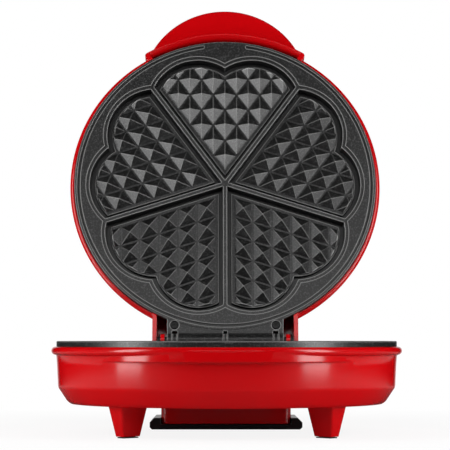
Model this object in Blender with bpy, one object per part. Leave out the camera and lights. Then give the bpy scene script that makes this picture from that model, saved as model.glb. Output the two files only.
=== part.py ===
"""Round heart waffle maker with its lid standing open, in metres, +Z up, front towards -Y.

Both cooking plates, pans and elements are drawn in one plate frame: its origin is the centre
of the cooking face, +Z leaves that face, -Z goes into the body, and the hinge is at +Y.
The base uses that frame upright. The lid hangs it, turned over, on the hinge axis.
"""
import math

import bmesh
import bpy
from mathutils import Matrix, Vector

# Stance and overall sizes
FOOT_HEIGHT = 0.0180
BASE_DEPTH = 0.0372
LID_DEPTH = 0.0352
PLATE_GAP = 0.0010
OPEN_ANGLE = math.radians(103.0)
SEAT_GAP = 0.0003
OVERRUN = 0.0050
SUNK = 0.0012
WELD_DISTANCE = 0.000001

# Cooking plates
PLATE_RADIUS = 0.1019
FLANGE_WIDTH = 0.0064
FLANGE_THICKNESS = 0.0040
PLATE_BODY_RADIUS = PLATE_RADIUS - FLANGE_WIDTH
BOSS_INSET = 0.0215
BOSS_RING_RADIUS = PLATE_BODY_RADIUS - BOSS_INSET
PLATE_THICKNESS = 0.0100
PLATE_EDGE_ROUND = 0.0004
GROOVE_INSET = 0.0036
GROOVE_INNER_RADIUS = PLATE_RADIUS - GROOVE_INSET
GROOVE_WIDTH = 0.0016
GROOVE_DEPTH = 0.0012
GROOVE_GAP_HALF_WIDTH = 0.0144

# Round shells, which follow the plates' edge
WALL_MARGIN = 0.0001
WALL_TOP_RADIUS = PLATE_RADIUS + WALL_MARGIN
WALL_DRAFT = 0.0010
WALL_END_RADIUS = WALL_TOP_RADIUS - WALL_DRAFT
WALL_THICKNESS = 0.0025
LIP_OVERHANG = 0.0030
LIP_RADIUS = WALL_TOP_RADIUS + LIP_OVERHANG
LIP_DROP = 0.0033
LIP_HEIGHT = 0.0049
LEDGE_DROP = 0.0043
CHAMFER_CORNER = 0.0012
BASE_CHAMFER_WIDTH = 0.0065
BASE_CHAMFER_HEIGHT = 0.0097
BASE_CHAMFER_RADIUS = WALL_END_RADIUS - BASE_CHAMFER_WIDTH
BASE_WALL_DROP = BASE_DEPTH - BASE_CHAMFER_HEIGHT
LID_CHAMFER_WIDTH = 0.0095
LID_CHAMFER_HEIGHT = 0.0107
LID_CHAMFER_RADIUS = WALL_END_RADIUS - LID_CHAMFER_WIDTH
LID_WALL_DROP = LID_DEPTH - LID_CHAMFER_HEIGHT

# Front band of the base, a disc pushed forward until it meets the wall at its ends
BAND_OVERHANG = 0.0033
BAND_REACH = WALL_TOP_RADIUS + BAND_OVERHANG
BAND_END_ANGLE = math.radians(42.0)
BAND_TOP_DROP = 0.0055
BAND_BOTTOM_DROP = 0.0116

# Front feet
FOOT_INSET = 0.0142
FOOT_RING_RADIUS = BASE_CHAMFER_RADIUS - FOOT_INSET
FOOT_ANGLE = math.radians(44.8)
FOOT_CENTRE_X = FOOT_RING_RADIUS * math.sin(FOOT_ANGLE)
FOOT_CENTRE_Y = -FOOT_RING_RADIUS * math.cos(FOOT_ANGLE)
FOOT_TOP_DEPTH = 0.0206
FOOT_TOP_WIDTH = 0.0124
FOOT_END_DEPTH = 0.0130
FOOT_END_WIDTH = 0.0074
FOOT_CORNER = 0.0012
FOOT_PAD_THICKNESS = 0.0006
FOOT_PAD_INSET = 0.0016

# Cord-wrap block and its cap, which is the rear foot
BLOCK_WIDTH = 0.0810
BLOCK_LENGTH = 0.0480
BLOCK_INSET = 0.0065
BLOCK_BACK_Y = BASE_CHAMFER_RADIUS - BLOCK_INSET
BLOCK_FRONT_Y = BLOCK_BACK_Y - BLOCK_LENGTH
BLOCK_CORNER = 0.0040
CAP_OVERHANG = 0.0071
CAP_WIDTH = BLOCK_WIDTH + 2 * CAP_OVERHANG
CAP_FLOOR = 0.0032
CAP_EAR_HEIGHT = 0.0072
CAP_MARGIN = 0.0010
CAP_CHAMFER = 0.0028
CAP_SCREW_INSET = 0.0155
CAP_SCREW_SPACING = BLOCK_WIDTH - 2 * CAP_SCREW_INSET

# Hinge
HINGE_CLEARANCE = 0.0040
HINGE_REACH = LIP_RADIUS + HINGE_CLEARANCE
HINGE_RISE = PLATE_GAP / 2
BARREL_RADIUS = 0.0045
TAB_WIDTH = 0.0772
TAB_HALF_WIDTH = TAB_WIDTH / 2
BARREL_STEP = 0.0003
TAB_THICKNESS = BARREL_RADIUS - HINGE_RISE - BARREL_STEP
TAB_STEP = 0.0002
TAB_SCREW_INSET = 0.0049
TAB_SCREW_X = TAB_HALF_WIDTH - TAB_SCREW_INSET
TAB_SCREW_OFFSET = 0.0104
LUG_EYE_RADIUS = 0.0042
LUG_THICKNESS = 0.0028
LUG_INSET = 0.0051
LUG_SIDE_X = TAB_HALF_WIDTH - LUG_INSET
LUG_SIDE_WIDTH = 0.0030
LUG_MIDDLE_WIDTH = 0.0020
SLOT_RADIUS = 0.0065
PIN_RADIUS = 0.0020
EAR_GAP = 0.0016
EAR_INNER_X = TAB_HALF_WIDTH + EAR_GAP
EAR_THICKNESS = 0.0026
EAR_RADIUS = 0.0040
CLIP_RADIUS = 0.0040
CLIP_THICKNESS = 0.0008
PIN_OVERHANG = 0.0018

# Rear box of the base
REAR_BOX_MARGIN = 0.0016
REAR_BOX_WIDTH = 2 * (EAR_INNER_X + EAR_THICKNESS + REAR_BOX_MARGIN)
REAR_BOX_BACK = 0.0065
REAR_BOX_TOP_DROP = 0.0060
REAR_BOX_RISE = 0.0032
REAR_BOX_BOTTOM_DROP = BASE_DEPTH - REAR_BOX_RISE
BOX_CORNER = 0.0025
GROMMET_RADIUS = 0.0032
GROMMET_FLANGE_RADIUS = 0.0042
GROMMET_FLANGE = 0.0012
GROMMET_BORE_RADIUS = 0.0022
GROMMET_HEIGHT = 0.0075

# Rear skirt of the lid, which straddles the rear box of the base
ARM_THICKNESS = 0.0029
ARM_CLEARANCE = 0.00115
SKIRT_WIDTH = REAR_BOX_WIDTH + 2 * (ARM_CLEARANCE + ARM_THICKNESS)
SKIRT_BACK = 0.0135
SKIRT_HEADROOM = 0.0049
SKIRT_EDGE_DROP = 0.0005
SKIRT_CORNER = 0.0040
TAB_BOSS_RADIUS = 0.0036

# Handle
HANDLE_ARC_RADIUS = 0.0574
HANDLE_PROJECTION = 0.0277
HANDLE_ARC_CENTRE = PLATE_RADIUS + HANDLE_PROJECTION - HANDLE_ARC_RADIUS
HANDLE_DROP = 0.0110
HANDLE_THICKNESS = 0.0110
HANDLE_EDGE = 0.0020
HANDLE_LIP_OVERHANG = 0.0032
HANDLE_LIP_RADIUS = LIP_RADIUS + HANDLE_LIP_OVERHANG
HANDLE_LIP_THICKNESS = 0.0024
HANDLE_LIP_ANGLE = math.radians(31.0)
HANDLE_END_ANGLE = math.radians(2.0)
HANDLE_LIP_DEPTH = 0.0140
HANDLE_RECESS_DEPTH = 0.0090

# Hearts in the cooking faces
HEARTS = 5
SECTOR_HALF_ANGLE = math.pi / HEARTS
FLOWER_INSET = 0.0044
FLOWER_REACH = GROOVE_INNER_RADIUS - FLOWER_INSET
FLOWER_LOBE_SHARE = 0.375
FLOWER_RADIUS = FLOWER_REACH * FLOWER_LOBE_SHARE
FLOWER_DROP = 0.0008
LOBE_ANGLE = math.radians(18.3)
LOBE_X = (FLOWER_REACH - FLOWER_RADIUS) * math.sin(LOBE_ANGLE)
LOBE_Y = (FLOWER_REACH - FLOWER_RADIUS) * math.cos(LOBE_ANGLE)
POCKET_INSET = 0.0023
POCKET_RADIUS = FLOWER_RADIUS - POCKET_INSET
POCKET_SIDE_GAP = 0.0014
POCKET_DEPTH = 0.0070
SHELF_WIDTH = 0.0034
PAD_RADIUS = POCKET_RADIUS - SHELF_WIDTH
SIDE_SHELF_WIDTH = 0.0028
PAD_SIDE_GAP = POCKET_SIDE_GAP + SIDE_SHELF_WIDTH
PAD_DEPTH = 0.0055
PAD_BORDER = 0.0010
CELL_SIDE = 0.0136
CELL_START = 0.0100
CELL_VALLEY = 0.0013
PYRAMID_HEIGHT = 0.0040

# Heating pieces behind each plate
ELEMENT_INSET = 0.0120
ELEMENT_RING_RADIUS = BOSS_RING_RADIUS - ELEMENT_INSET
ELEMENT_TUBE_RADIUS = 0.0032
ELEMENT_LEG = 0.0100
ELEMENT_BEND = 0.0045
ELEMENT_LEG_SPACING = 0.0104
ELEMENT_OPENING = math.asin((ELEMENT_LEG_SPACING / 2 + ELEMENT_BEND) / ELEMENT_RING_RADIUS)
CLAMP_WIDTH = 0.0060
CLAMP_CLEARANCE = 0.0006
CLAMP_SHEET = 0.0008
CLAMP_FOOT = 0.0050
CLAMP_ANGLE = math.radians(120.0)
PAN_MARGIN = 0.0010
PAN_RADIUS = PLATE_BODY_RADIUS - PAN_MARGIN
PAN_RIM = 0.0045
PAN_SLOPE = 0.0030
PAN_CLEARANCE = 0.0007
PAN_DEPTH = 2 * ELEMENT_TUBE_RADIUS + CLAMP_CLEARANCE + CLAMP_SHEET + PAN_CLEARANCE
PAN_SHEET = 0.0008
PAN_MIDDLE_HOLE = 0.0110
PAN_LEG_HOLE = 0.0052
THERMOSTAT_RADIUS = 0.0080
THERMOSTAT_HEIGHT = 0.0060
THERMOSTAT_STEM_RADIUS = 0.0055
THERMOSTAT_STEM = 0.0040
FUSE_RADIUS = 0.0020
FUSE_LENGTH = 0.0120
FUSE_OFFSET = 0.0300

# Screws and bosses
PLATE_BOSS_RADIUS = 0.0050
BOSS_RADIUS = 0.0062
SHANK_RADIUS = 0.0017
SHANK_CLEARANCE = 0.0004
PLATE_BOSS_DEPTH = 0.0060
HEAD_RADIUS = 0.0040
HEAD_THICKNESS = 0.0020
HEAD_RECESS_RADIUS = 0.0046
HEAD_RECESS_DEPTH = 0.0032
SMALL_SHANK_RADIUS = 0.0014
SMALL_HEAD_RADIUS = 0.0026
SMALL_HEAD_THICKNESS = 0.0016
SMALL_RECESS_RADIUS = 0.0030
SMALL_RECESS_DEPTH = 0.0022
SMALL_SCREW_LENGTH = 0.0110
CAP_SCREW_LENGTH = 0.0078
CROSS_WIDTH = 0.0008
CROSS_REACH_SHARE = 0.6
CROSS_DEPTH = 0.0008

# Wiring
TERMINAL_WIDTH = 0.0240
TERMINAL_DEPTH = 0.0130
TERMINAL_HEIGHT = 0.0100
TERMINAL_INSET = 0.0180
TERMINAL_Y = BLOCK_BACK_Y - TERMINAL_INSET
WIRE_RADIUS = 0.0011
WIRE_SPACING = 0.0100
WIRE_STEP = 0.0060
WIRE_LIFT = 0.0060

# Lamps in the lid's top
LAMP_SPACING = 0.0180
LAMP_INSET = 0.0040
LAMP_Y = -BOSS_RING_RADIUS + LAMP_INSET
LENS_RADIUS = 0.0036
LENS_CROWN = 0.0008
LENS_FLANGE_RADIUS = 0.0050
LENS_FLANGE = 0.0010
LAMP_RADIUS = 0.0026
LAMP_HEADROOM = 0.0035

# Numbers of straight sides on round shapes
ROUND_STEPS = 50
LOBE_STEPS = 6
SMALL_STEPS = 12
NOSE_STEPS = 4
CORNER_STEPS = 3

SHARP_ANGLE = math.radians(28.0)
FLAT_ANGLE = math.radians(0.05)

# Places that several pieces share
PLATE_PLANE_HEIGHT = FOOT_HEIGHT + BASE_DEPTH
LEDGE_RADIUS = PLATE_RADIUS + SEAT_GAP
BLOCK_END = PLATE_PLANE_HEIGHT - CAP_FLOOR - SEAT_GAP
CAP_SCREW_TIP = -PLATE_PLANE_HEIGHT + SMALL_RECESS_DEPTH - SEAT_GAP + CAP_SCREW_LENGTH
PAN_END = PLATE_THICKNESS + SEAT_GAP + PAN_DEPTH + PAN_SHEET
REAR_EDGE_DROP = max(FLANGE_THICKNESS, TAB_THICKNESS)
SKIRT_ROOF_DROP = PAN_END + SKIRT_HEADROOM + WALL_THICKNESS
PLATE_BOSS_END = PLATE_THICKNESS + PAN_DEPTH
ELEMENT_LEG_END = PLATE_THICKNESS + ELEMENT_TUBE_RADIUS + ELEMENT_LEG
GROMMET_Z = -REAR_BOX_BOTTOM_DROP + GROMMET_HEIGHT
STOP_RISE = (REAR_BOX_BACK + SEAT_GAP - SKIRT_BACK * math.cos(OPEN_ANGLE)) / math.sin(OPEN_ANGLE)
SKIRT_SILL = STOP_RISE - HINGE_RISE
BOSS_ANGLES = [math.radians(30.0) + step * math.radians(120.0) for step in range(3)]
LUG_PLACES = [(-LUG_SIDE_X, LUG_SIDE_WIDTH), (0.0, LUG_MIDDLE_WIDTH), (LUG_SIDE_X, LUG_SIDE_WIDTH)]

RED = (0.52, 0.006, 0.010)
COATING = (0.075, 0.075, 0.075)
BLACK = (0.012, 0.012, 0.013)
STEEL = (0.60, 0.60, 0.60)
ALUMINIUM = (0.70, 0.70, 0.70)


def clear_scene():
    for old in list(bpy.data.objects):
        bpy.data.objects.remove(old, do_unlink=True)


def material(name, colour, roughness, metallic=0.0):
    """One Principled material for one piece."""
    mat = bpy.data.materials.new(name)
    mat.use_nodes = True
    shader = mat.node_tree.nodes["Principled BSDF"]
    shader.inputs["Base Color"].default_value = (*colour, 1.0)
    shader.inputs["Roughness"].default_value = roughness
    shader.inputs["Metallic"].default_value = metallic
    mat.diffuse_color = (*colour, 1.0)
    return mat


def empty(name, parent, matrix):
    """An empty that carries pieces, placed in its parent's frame."""
    holder = bpy.data.objects.new(name, None)
    holder.empty_display_size = PLATE_RADIUS
    bpy.context.scene.collection.objects.link(holder)
    holder.parent = parent
    holder.matrix_local = matrix
    return holder


def solid(mesh_edit):
    """A loose object from a bmesh, welded and with its faces out."""
    bmesh.ops.remove_doubles(mesh_edit, verts=mesh_edit.verts, dist=WELD_DISTANCE)
    bmesh.ops.recalc_face_normals(mesh_edit, faces=mesh_edit.faces)
    mesh = bpy.data.meshes.new("shape")
    mesh_edit.to_mesh(mesh)
    mesh_edit.free()
    obj = bpy.data.objects.new("shape", mesh)
    bpy.context.scene.collection.objects.link(obj)
    return obj


def install(obj, name, parent, finish, location=(0.0, 0.0, 0.0), turn=0.0):
    """Name a finished piece, give it its own material and seat it in its parent's frame."""
    colour, roughness, metallic = finish
    obj.name = name
    obj.data.name = name
    obj.parent = parent
    obj.location = location
    obj.rotation_euler = (0.0, 0.0, turn)
    obj.data.materials.clear()
    obj.data.materials.append(material(name, colour, roughness, metallic))
    if obj.type == "MESH":
        obj.data.shade_smooth()
        obj.data.set_sharp_from_angle(angle=SHARP_ANGLE)
    return obj


def combine(target, tool, operation, solver="EXACT"):
    """Apply a Boolean of a loose tool to a loose target and remove the tool."""
    modifier = target.modifiers.new("combine", "BOOLEAN")
    modifier.operation = operation
    modifier.solver = solver
    modifier.object = tool
    graph = bpy.context.evaluated_depsgraph_get()
    mesh = bpy.data.meshes.new_from_object(target.evaluated_get(graph))
    target.modifiers.clear()
    target.data = mesh
    bpy.data.objects.remove(tool, do_unlink=True)


def cut(target, mesh_edit, solver="EXACT"):
    combine(target, solid(mesh_edit), "DIFFERENCE", solver)


def add(target, mesh_edit):
    combine(target, solid(mesh_edit), "UNION")


def keep(target, mesh_edit):
    combine(target, solid(mesh_edit), "INTERSECT")


def merge_flat_faces(obj):
    """Join neighbouring faces that lie in one plane."""
    mesh_edit = bmesh.new()
    mesh_edit.from_mesh(obj.data)
    bmesh.ops.remove_doubles(mesh_edit, verts=mesh_edit.verts, dist=WELD_DISTANCE)
    bmesh.ops.dissolve_limit(
        mesh_edit, angle_limit=FLAT_ANGLE, verts=mesh_edit.verts, edges=mesh_edit.edges
    )
    mesh_edit.to_mesh(obj.data)
    mesh_edit.free()


def arc(centre, radius, start, end, steps):
    """Points of an arc, both ends included."""
    points = []
    for step in range(steps + 1):
        angle = start + (end - start) * step / steps
        points.append((centre[0] + radius * math.cos(angle), centre[1] + radius * math.sin(angle)))
    return points


def circle(centre, radius, steps=SMALL_STEPS):
    return arc(centre, radius, 0.0, 2 * math.pi, steps)[:-1]


def rounded_rectangle(length, width, corner):
    """Outline round the origin with its length along X."""
    points = []
    for quarter, (side_x, side_y) in enumerate([(1, 1), (-1, 1), (-1, -1), (1, -1)]):
        centre = (side_x * (length / 2 - corner), side_y * (width / 2 - corner))
        start = quarter * math.pi / 2
        points += arc(centre, corner, start, start + math.pi / 2, CORNER_STEPS)
    return points


def turned(profile, steps=ROUND_STEPS):
    """Closed solid from an (r, z) outline turned about Z."""
    mesh_edit = bmesh.new()
    verts = [mesh_edit.verts.new((radius, 0.0, height)) for radius, height in profile]
    ends = list(zip(verts, verts[1:]))
    if profile[0][0] > 0 or profile[-1][0] > 0:
        ends.append((verts[-1], verts[0]))
    edges = [mesh_edit.edges.new(pair) for pair in ends]
    bmesh.ops.spin(
        mesh_edit, geom=verts + edges, cent=(0, 0, 0), axis=(0, 0, 1),
        angle=2 * math.pi, steps=steps, use_merge=True,
    )
    return mesh_edit


def lofted(low_outline, high_outline, low, high):
    """Closed solid between two outlines with as many points each."""
    mesh_edit = bmesh.new()
    bottom = [mesh_edit.verts.new((x, y, low)) for x, y in low_outline]
    top = [mesh_edit.verts.new((x, y, high)) for x, y in high_outline]
    mesh_edit.faces.new(bottom[::-1])
    mesh_edit.faces.new(top)
    count = len(bottom)
    for index in range(count):
        after = (index + 1) % count
        mesh_edit.faces.new((bottom[index], bottom[after], top[after], top[index]))
    return mesh_edit


def extruded(outline, low, high):
    return lofted(outline, outline, low, high)


def box(low, high, corner=0.0, chosen=None):
    """Block between two corners, with the chosen edges rounded."""
    mesh_edit = bmesh.new()
    bmesh.ops.create_cube(mesh_edit, size=1.0)
    low, high = Vector(low), Vector(high)
    bmesh.ops.scale(mesh_edit, vec=high - low, verts=mesh_edit.verts)
    bmesh.ops.translate(mesh_edit, vec=(low + high) / 2, verts=mesh_edit.verts)
    if chosen:
        centre = (low + high) / 2
        edges = []
        for edge in mesh_edit.edges:
            middle = (edge.verts[0].co + edge.verts[1].co) / 2 - centre
            if chosen(middle, high - low):
                edges.append(edge)
        bmesh.ops.bevel(
            mesh_edit, geom=edges, offset=corner, segments=CORNER_STEPS, profile=0.5, affect="EDGES"
        )
    return mesh_edit


def upright_edges(middle, size):
    return abs(middle.z) < size.z / 4


def moved(mesh_edit, matrix):
    bmesh.ops.transform(mesh_edit, matrix=matrix, verts=mesh_edit.verts)
    return mesh_edit


def along_x(mesh_edit, x=0.0, y=0.0, z=0.0):
    """Turn a solid drawn along Z so that it runs along X, through the given point."""
    return moved(mesh_edit, Matrix.Translation((x, y, z)) @ Matrix.Rotation(math.pi / 2, 4, "Y"))


def along_y(mesh_edit, x=0.0, y=0.0, z=0.0):
    """Turn a solid drawn along Z so that it runs along Y, through the given point."""
    return moved(mesh_edit, Matrix.Translation((x, y, z)) @ Matrix.Rotation(-math.pi / 2, 4, "X"))


def side_profile(outline, x_low, x_high):
    """Extrude a (y, z) outline along X."""
    upright = Matrix(((0, 0, 1, 0), (1, 0, 0, 0), (0, 1, 0, 0), (0, 0, 0, 1)))
    return moved(extruded(outline, x_low, x_high), upright)


def smooth_route(points, spacing):
    """Points along a smooth curve through the given ones."""
    knots = [Vector(point) for point in points]
    knots = [2 * knots[0] - knots[1]] + knots + [2 * knots[-1] - knots[-2]]
    route = []
    for index in range(1, len(knots) - 2):
        before, start, end, after = knots[index - 1:index + 3]
        steps = max(1, round((end - start).length / spacing))
        for step in range(steps):
            share = step / steps
            route.append(
                ((2 * start) + (end - before) * share
                 + (2 * before - 5 * start + 4 * end - after) * share ** 2
                 + (3 * start - before - 3 * end + after) * share ** 3) / 2
            )
    route.append(knots[-2])
    return route


def tube(points, radius):
    """Round bar along a route, as a curve with filled ends."""
    curve = bpy.data.curves.new("tube", "CURVE")
    curve.dimensions = "3D"
    curve.bevel_depth = radius
    curve.bevel_resolution = 2
    curve.use_fill_caps = True
    spline = curve.splines.new("POLY")
    spline.points.add(len(points) - 1)
    for knot, place in zip(spline.points, points):
        knot.co = (*place, 1.0)
    obj = bpy.data.objects.new("tube", curve)
    bpy.context.scene.collection.objects.link(obj)
    return obj


# Cooking plates

def heart_outline(side_gap, lobe_radius):
    """Heart with its tip near the origin and its notch towards +Y, as (x, y) points.

    Its straight sides lie side_gap inside the sector's edges, and each lobe is one arc.
    """
    along = Vector((math.sin(SECTOR_HALF_ANGLE), math.cos(SECTOR_HALF_ANGLE)))
    inward = Vector((-along.y, along.x))
    centre = Vector((LOBE_X, LOBE_Y))
    start = side_gap * inward
    offset = start - centre
    half = offset.dot(along)
    reach = -half + math.sqrt(half ** 2 - offset.dot(offset) + lobe_radius ** 2)
    corner = start + reach * along
    notch = Vector((0.0, LOBE_Y + math.sqrt(lobe_radius ** 2 - LOBE_X ** 2)))
    first = math.atan2(corner.y - centre.y, corner.x - centre.x)
    last = math.atan2(notch.y - centre.y, notch.x - centre.x)
    right = arc(centre, lobe_radius, first, last, LOBE_STEPS)
    left = [(-x, y) for x, y in reversed(right[:-1])]
    tip = [(0.0, side_gap / math.sin(SECTOR_HALF_ANGLE))] if side_gap > 0 else []
    return tip + right + left


def sector_turns():
    """One turn for each heart; the first heart points to the front."""
    return [Matrix.Rotation(math.pi + index * 2 * SECTOR_HALF_ANGLE, 4, "Z") for index in range(HEARTS)]


def flower_outline():
    """Outer edge of the five hearts together."""
    points = []
    for turn in sector_turns():
        for x, y in heart_outline(0.0, FLOWER_RADIUS)[:-1]:
            place = turn @ Vector((x, y, 0.0))
            points.append((place.x, place.y))
    return points


def pyramid_field(low, level):
    """Block whose top is a lattice of pyramids between flat valleys, along the heart's sides."""
    right = CELL_SIDE * Vector((math.sin(SECTOR_HALF_ANGLE), math.cos(SECTOR_HALF_ANGLE), 0.0))
    left = Vector((-right.x, right.y, 0.0))
    start = Vector((0.0, CELL_START, level))
    rows = math.ceil((FLOWER_REACH - CELL_START) / right.y)
    inset = CELL_VALLEY / 2 / (CELL_SIDE * math.sin(2 * SECTOR_HALF_ANGLE))
    mesh_edit = bmesh.new()
    for row in range(-1, rows - 1):
        for column in range(-1, rows - 1):
            corner = start + row * right + column * left
            outer = [
                mesh_edit.verts.new(corner + a * right + b * left)
                for a, b in ((0, 0), (1, 0), (1, 1), (0, 1))
            ]
            if row < 0 or column < 0 or row + column >= rows:
                mesh_edit.faces.new(outer)
                continue
            inner = [
                mesh_edit.verts.new(corner + a * right + b * left)
                for a, b in ((inset, inset), (1 - inset, inset), (1 - inset, 1 - inset), (inset, 1 - inset))
            ]
            peak = mesh_edit.verts.new(corner + (right + left) / 2 + Vector((0, 0, PYRAMID_HEIGHT)))
            for side in range(4):
                after = (side + 1) % 4
                mesh_edit.faces.new((outer[side], outer[after], inner[after], inner[side]))
                mesh_edit.faces.new((inner[side], inner[after], peak))
    bmesh.ops.remove_doubles(mesh_edit, verts=mesh_edit.verts, dist=WELD_DISTANCE)
    rim = [edge for edge in mesh_edit.edges if edge.is_boundary]
    made = bmesh.ops.extrude_edge_only(mesh_edit, edges=rim)["geom"]
    lowered = [item for item in made if isinstance(item, bmesh.types.BMVert)]
    bmesh.ops.translate(mesh_edit, vec=(0, 0, low - level), verts=lowered)
    bottom = [edge for edge in mesh_edit.edges if edge.is_boundary]
    bmesh.ops.contextual_create(mesh_edit, geom=bottom)
    return mesh_edit


def heart_pocket():
    """Heart-shaped hollow that leaves a raised pad of pyramids in its middle."""
    pad_level = -PAD_DEPTH
    pad_base = -POCKET_DEPTH - SUNK
    pyramids = solid(pyramid_field(pad_base, pad_level))
    inner = heart_outline(PAD_SIDE_GAP + PAD_BORDER, PAD_RADIUS - PAD_BORDER)
    keep(pyramids, extruded(inner, pad_base - SUNK, SUNK))
    pad = heart_outline(PAD_SIDE_GAP, PAD_RADIUS)
    raised = solid(extruded(pad, pad_base, pad_level))
    combine(raised, pyramids, "UNION")
    pocket = solid(extruded(heart_outline(POCKET_SIDE_GAP, POCKET_RADIUS), -POCKET_DEPTH, SUNK))
    combine(pocket, raised, "DIFFERENCE")
    merge_flat_faces(pocket)
    return pocket


def grid_plate(hinge_parts):
    """Round plate with a flange, a drip groove, five hearts, screw bosses and its hinge parts."""
    plate = solid(turned([
        (0.0, 0.0),
        (PLATE_RADIUS - PLATE_EDGE_ROUND, 0.0),
        (PLATE_RADIUS, -PLATE_EDGE_ROUND),
        (PLATE_RADIUS, -FLANGE_THICKNESS),
        (PLATE_BODY_RADIUS, -FLANGE_THICKNESS),
        (PLATE_BODY_RADIUS, -PLATE_THICKNESS),
        (0.0, -PLATE_THICKNESS),
    ]))
    for part in hinge_parts:
        add(plate, part)
    bore = extruded(circle((0, 0), PIN_RADIUS + SEAT_GAP), -PLATE_RADIUS, PLATE_RADIUS)
    cut(plate, along_x(bore, 0, HINGE_REACH, HINGE_RISE))
    for angle in BOSS_ANGLES:
        centre = (BOSS_RING_RADIUS * math.cos(angle), BOSS_RING_RADIUS * math.sin(angle))
        add(plate, extruded(circle(centre, PLATE_BOSS_RADIUS), -PLATE_BOSS_END, -PLATE_THICKNESS + SUNK))
        cut(plate, extruded(circle(centre, SHANK_RADIUS + SHANK_CLEARANCE),
                            -PLATE_BOSS_END - SUNK, -PLATE_BOSS_END + PLATE_BOSS_DEPTH))
    gap = math.asin(GROOVE_GAP_HALF_WIDTH / GROOVE_INNER_RADIUS)
    first, last = gap - math.pi / 2, 3 * math.pi / 2 - gap
    groove = arc((0, 0), GROOVE_INNER_RADIUS + GROOVE_WIDTH, first, last, ROUND_STEPS)
    groove += arc((0, 0), GROOVE_INNER_RADIUS, last, first, ROUND_STEPS)
    cut(plate, extruded(groove, -GROOVE_DEPTH, OVERRUN))
    cut(plate, extruded(flower_outline(), -FLOWER_DROP, OVERRUN))
    pocket = heart_pocket()
    for turn in sector_turns():
        one = bmesh.new()
        one.from_mesh(pocket.data)
        cut(plate, moved(one, turn), "MANIFOLD")
    bpy.data.objects.remove(pocket, do_unlink=True)
    return plate


def lugs():
    """Hinge lugs of the lower plate: each a bar rooted in the flange, with a round eye."""
    eye = arc((HINGE_REACH, HINGE_RISE), LUG_EYE_RADIUS, -math.pi / 2, math.pi, SMALL_STEPS - CORNER_STEPS)
    bars = []
    for x, width in LUG_PLACES:
        root = math.sqrt(PLATE_BODY_RADIUS ** 2 - (abs(x) + width / 2) ** 2)
        outline = [(root, -LUG_THICKNESS)] + eye
        outline += [(HINGE_REACH - LUG_EYE_RADIUS, -SEAT_GAP), (root, -SEAT_GAP)]
        bars.append(side_profile(outline, x - width / 2, x + width / 2))
    return bars


def barrel_tab():
    """Tab of the upper plate with the hinge barrel along its edge."""
    start = PLATE_BODY_RADIUS - PLATE_THICKNESS
    first = math.asin((TAB_STEP + HINGE_RISE) / BARREL_RADIUS) + math.pi
    last = math.asin((TAB_THICKNESS + HINGE_RISE) / BARREL_RADIUS) - math.pi
    barrel = arc((HINGE_REACH, HINGE_RISE), BARREL_RADIUS, first, last, SMALL_STEPS)
    outline = [(start, -TAB_STEP)] + barrel + [(start, -TAB_THICKNESS)]
    return side_profile(outline, -TAB_HALF_WIDTH, TAB_HALF_WIDTH)


def lower_grid_plate(parent):
    plate = grid_plate(lugs())
    merge_flat_faces(plate)
    install(plate, "lower_grid_plate", parent, (COATING, 0.50, 0.0))


def upper_grid_plate(parent):
    """Plate whose tab ends in the hinge barrel, slotted for the lower plate's lugs."""
    plate = grid_plate([barrel_tab()])
    for centre, width in LUG_PLACES:
        half = width / 2 + SEAT_GAP
        slot = extruded(circle((0, 0), SLOT_RADIUS), centre - half, centre + half)
        cut(plate, along_x(slot, 0, HINGE_REACH, HINGE_RISE))
    for side in (-1, 1):
        centre = (side * TAB_SCREW_X, HINGE_REACH - TAB_SCREW_OFFSET)
        cut(plate, extruded(circle(centre, SMALL_RECESS_RADIUS), -SMALL_RECESS_DEPTH, OVERRUN))
        cut(plate, extruded(circle(centre, SMALL_SHANK_RADIUS + SHANK_CLEARANCE), -PLATE_THICKNESS, OVERRUN))
    merge_flat_faces(plate)
    install(plate, "upper_grid_plate", parent, (COATING, 0.50, 0.0))


# Shells

def outer_profile(depth, wall_drop, chamfer_radius):
    """(r, z) outline of a shell's outside: lip bead, wall, chamfer and flat end."""
    nose = LIP_HEIGHT / 2
    bead = arc((LIP_RADIUS - nose, -LIP_DROP - nose), nose, math.pi / 2, -math.pi / 2, NOSE_STEPS)
    lean = math.atan2(depth - wall_drop, WALL_END_RADIUS - chamfer_radius)
    return [(0.0, -LIP_DROP)] + bead + [
        (WALL_TOP_RADIUS, -LIP_DROP - LIP_HEIGHT),
        (WALL_END_RADIUS, -wall_drop + CHAMFER_CORNER / 2),
        (WALL_END_RADIUS - CHAMFER_CORNER / 2 * math.cos(lean), -wall_drop - CHAMFER_CORNER / 2),
        (chamfer_radius + CHAMFER_CORNER / 2, -depth + CHAMFER_CORNER),
        (chamfer_radius - CHAMFER_CORNER, -depth),
        (0.0, -depth),
    ]


def inner_profile(depth, wall_drop, chamfer_radius):
    """(r, z) outline of the hollow, with the ledge that carries the plate's flange."""
    return [
        (0.0, OVERRUN),
        (LEDGE_RADIUS, OVERRUN),
        (LEDGE_RADIUS, -LEDGE_DROP),
        (WALL_TOP_RADIUS - WALL_THICKNESS, -LEDGE_DROP),
        (WALL_END_RADIUS - WALL_THICKNESS, -wall_drop),
        (chamfer_radius - WALL_THICKNESS, -depth + WALL_THICKNESS),
        (0.0, -depth + WALL_THICKNESS),
    ]


def front_band():
    """Disc pushed forward, proud of the wall in front and level with it at its ends."""
    wall = WALL_TOP_RADIUS
    shift = (BAND_REACH ** 2 - wall ** 2) / 2 / (BAND_REACH - wall * math.cos(BAND_END_ANGLE))
    outline = circle((0.0, -shift), BAND_REACH - shift, ROUND_STEPS)
    return extruded(outline, -BAND_BOTTOM_DROP, -BAND_TOP_DROP)


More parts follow.
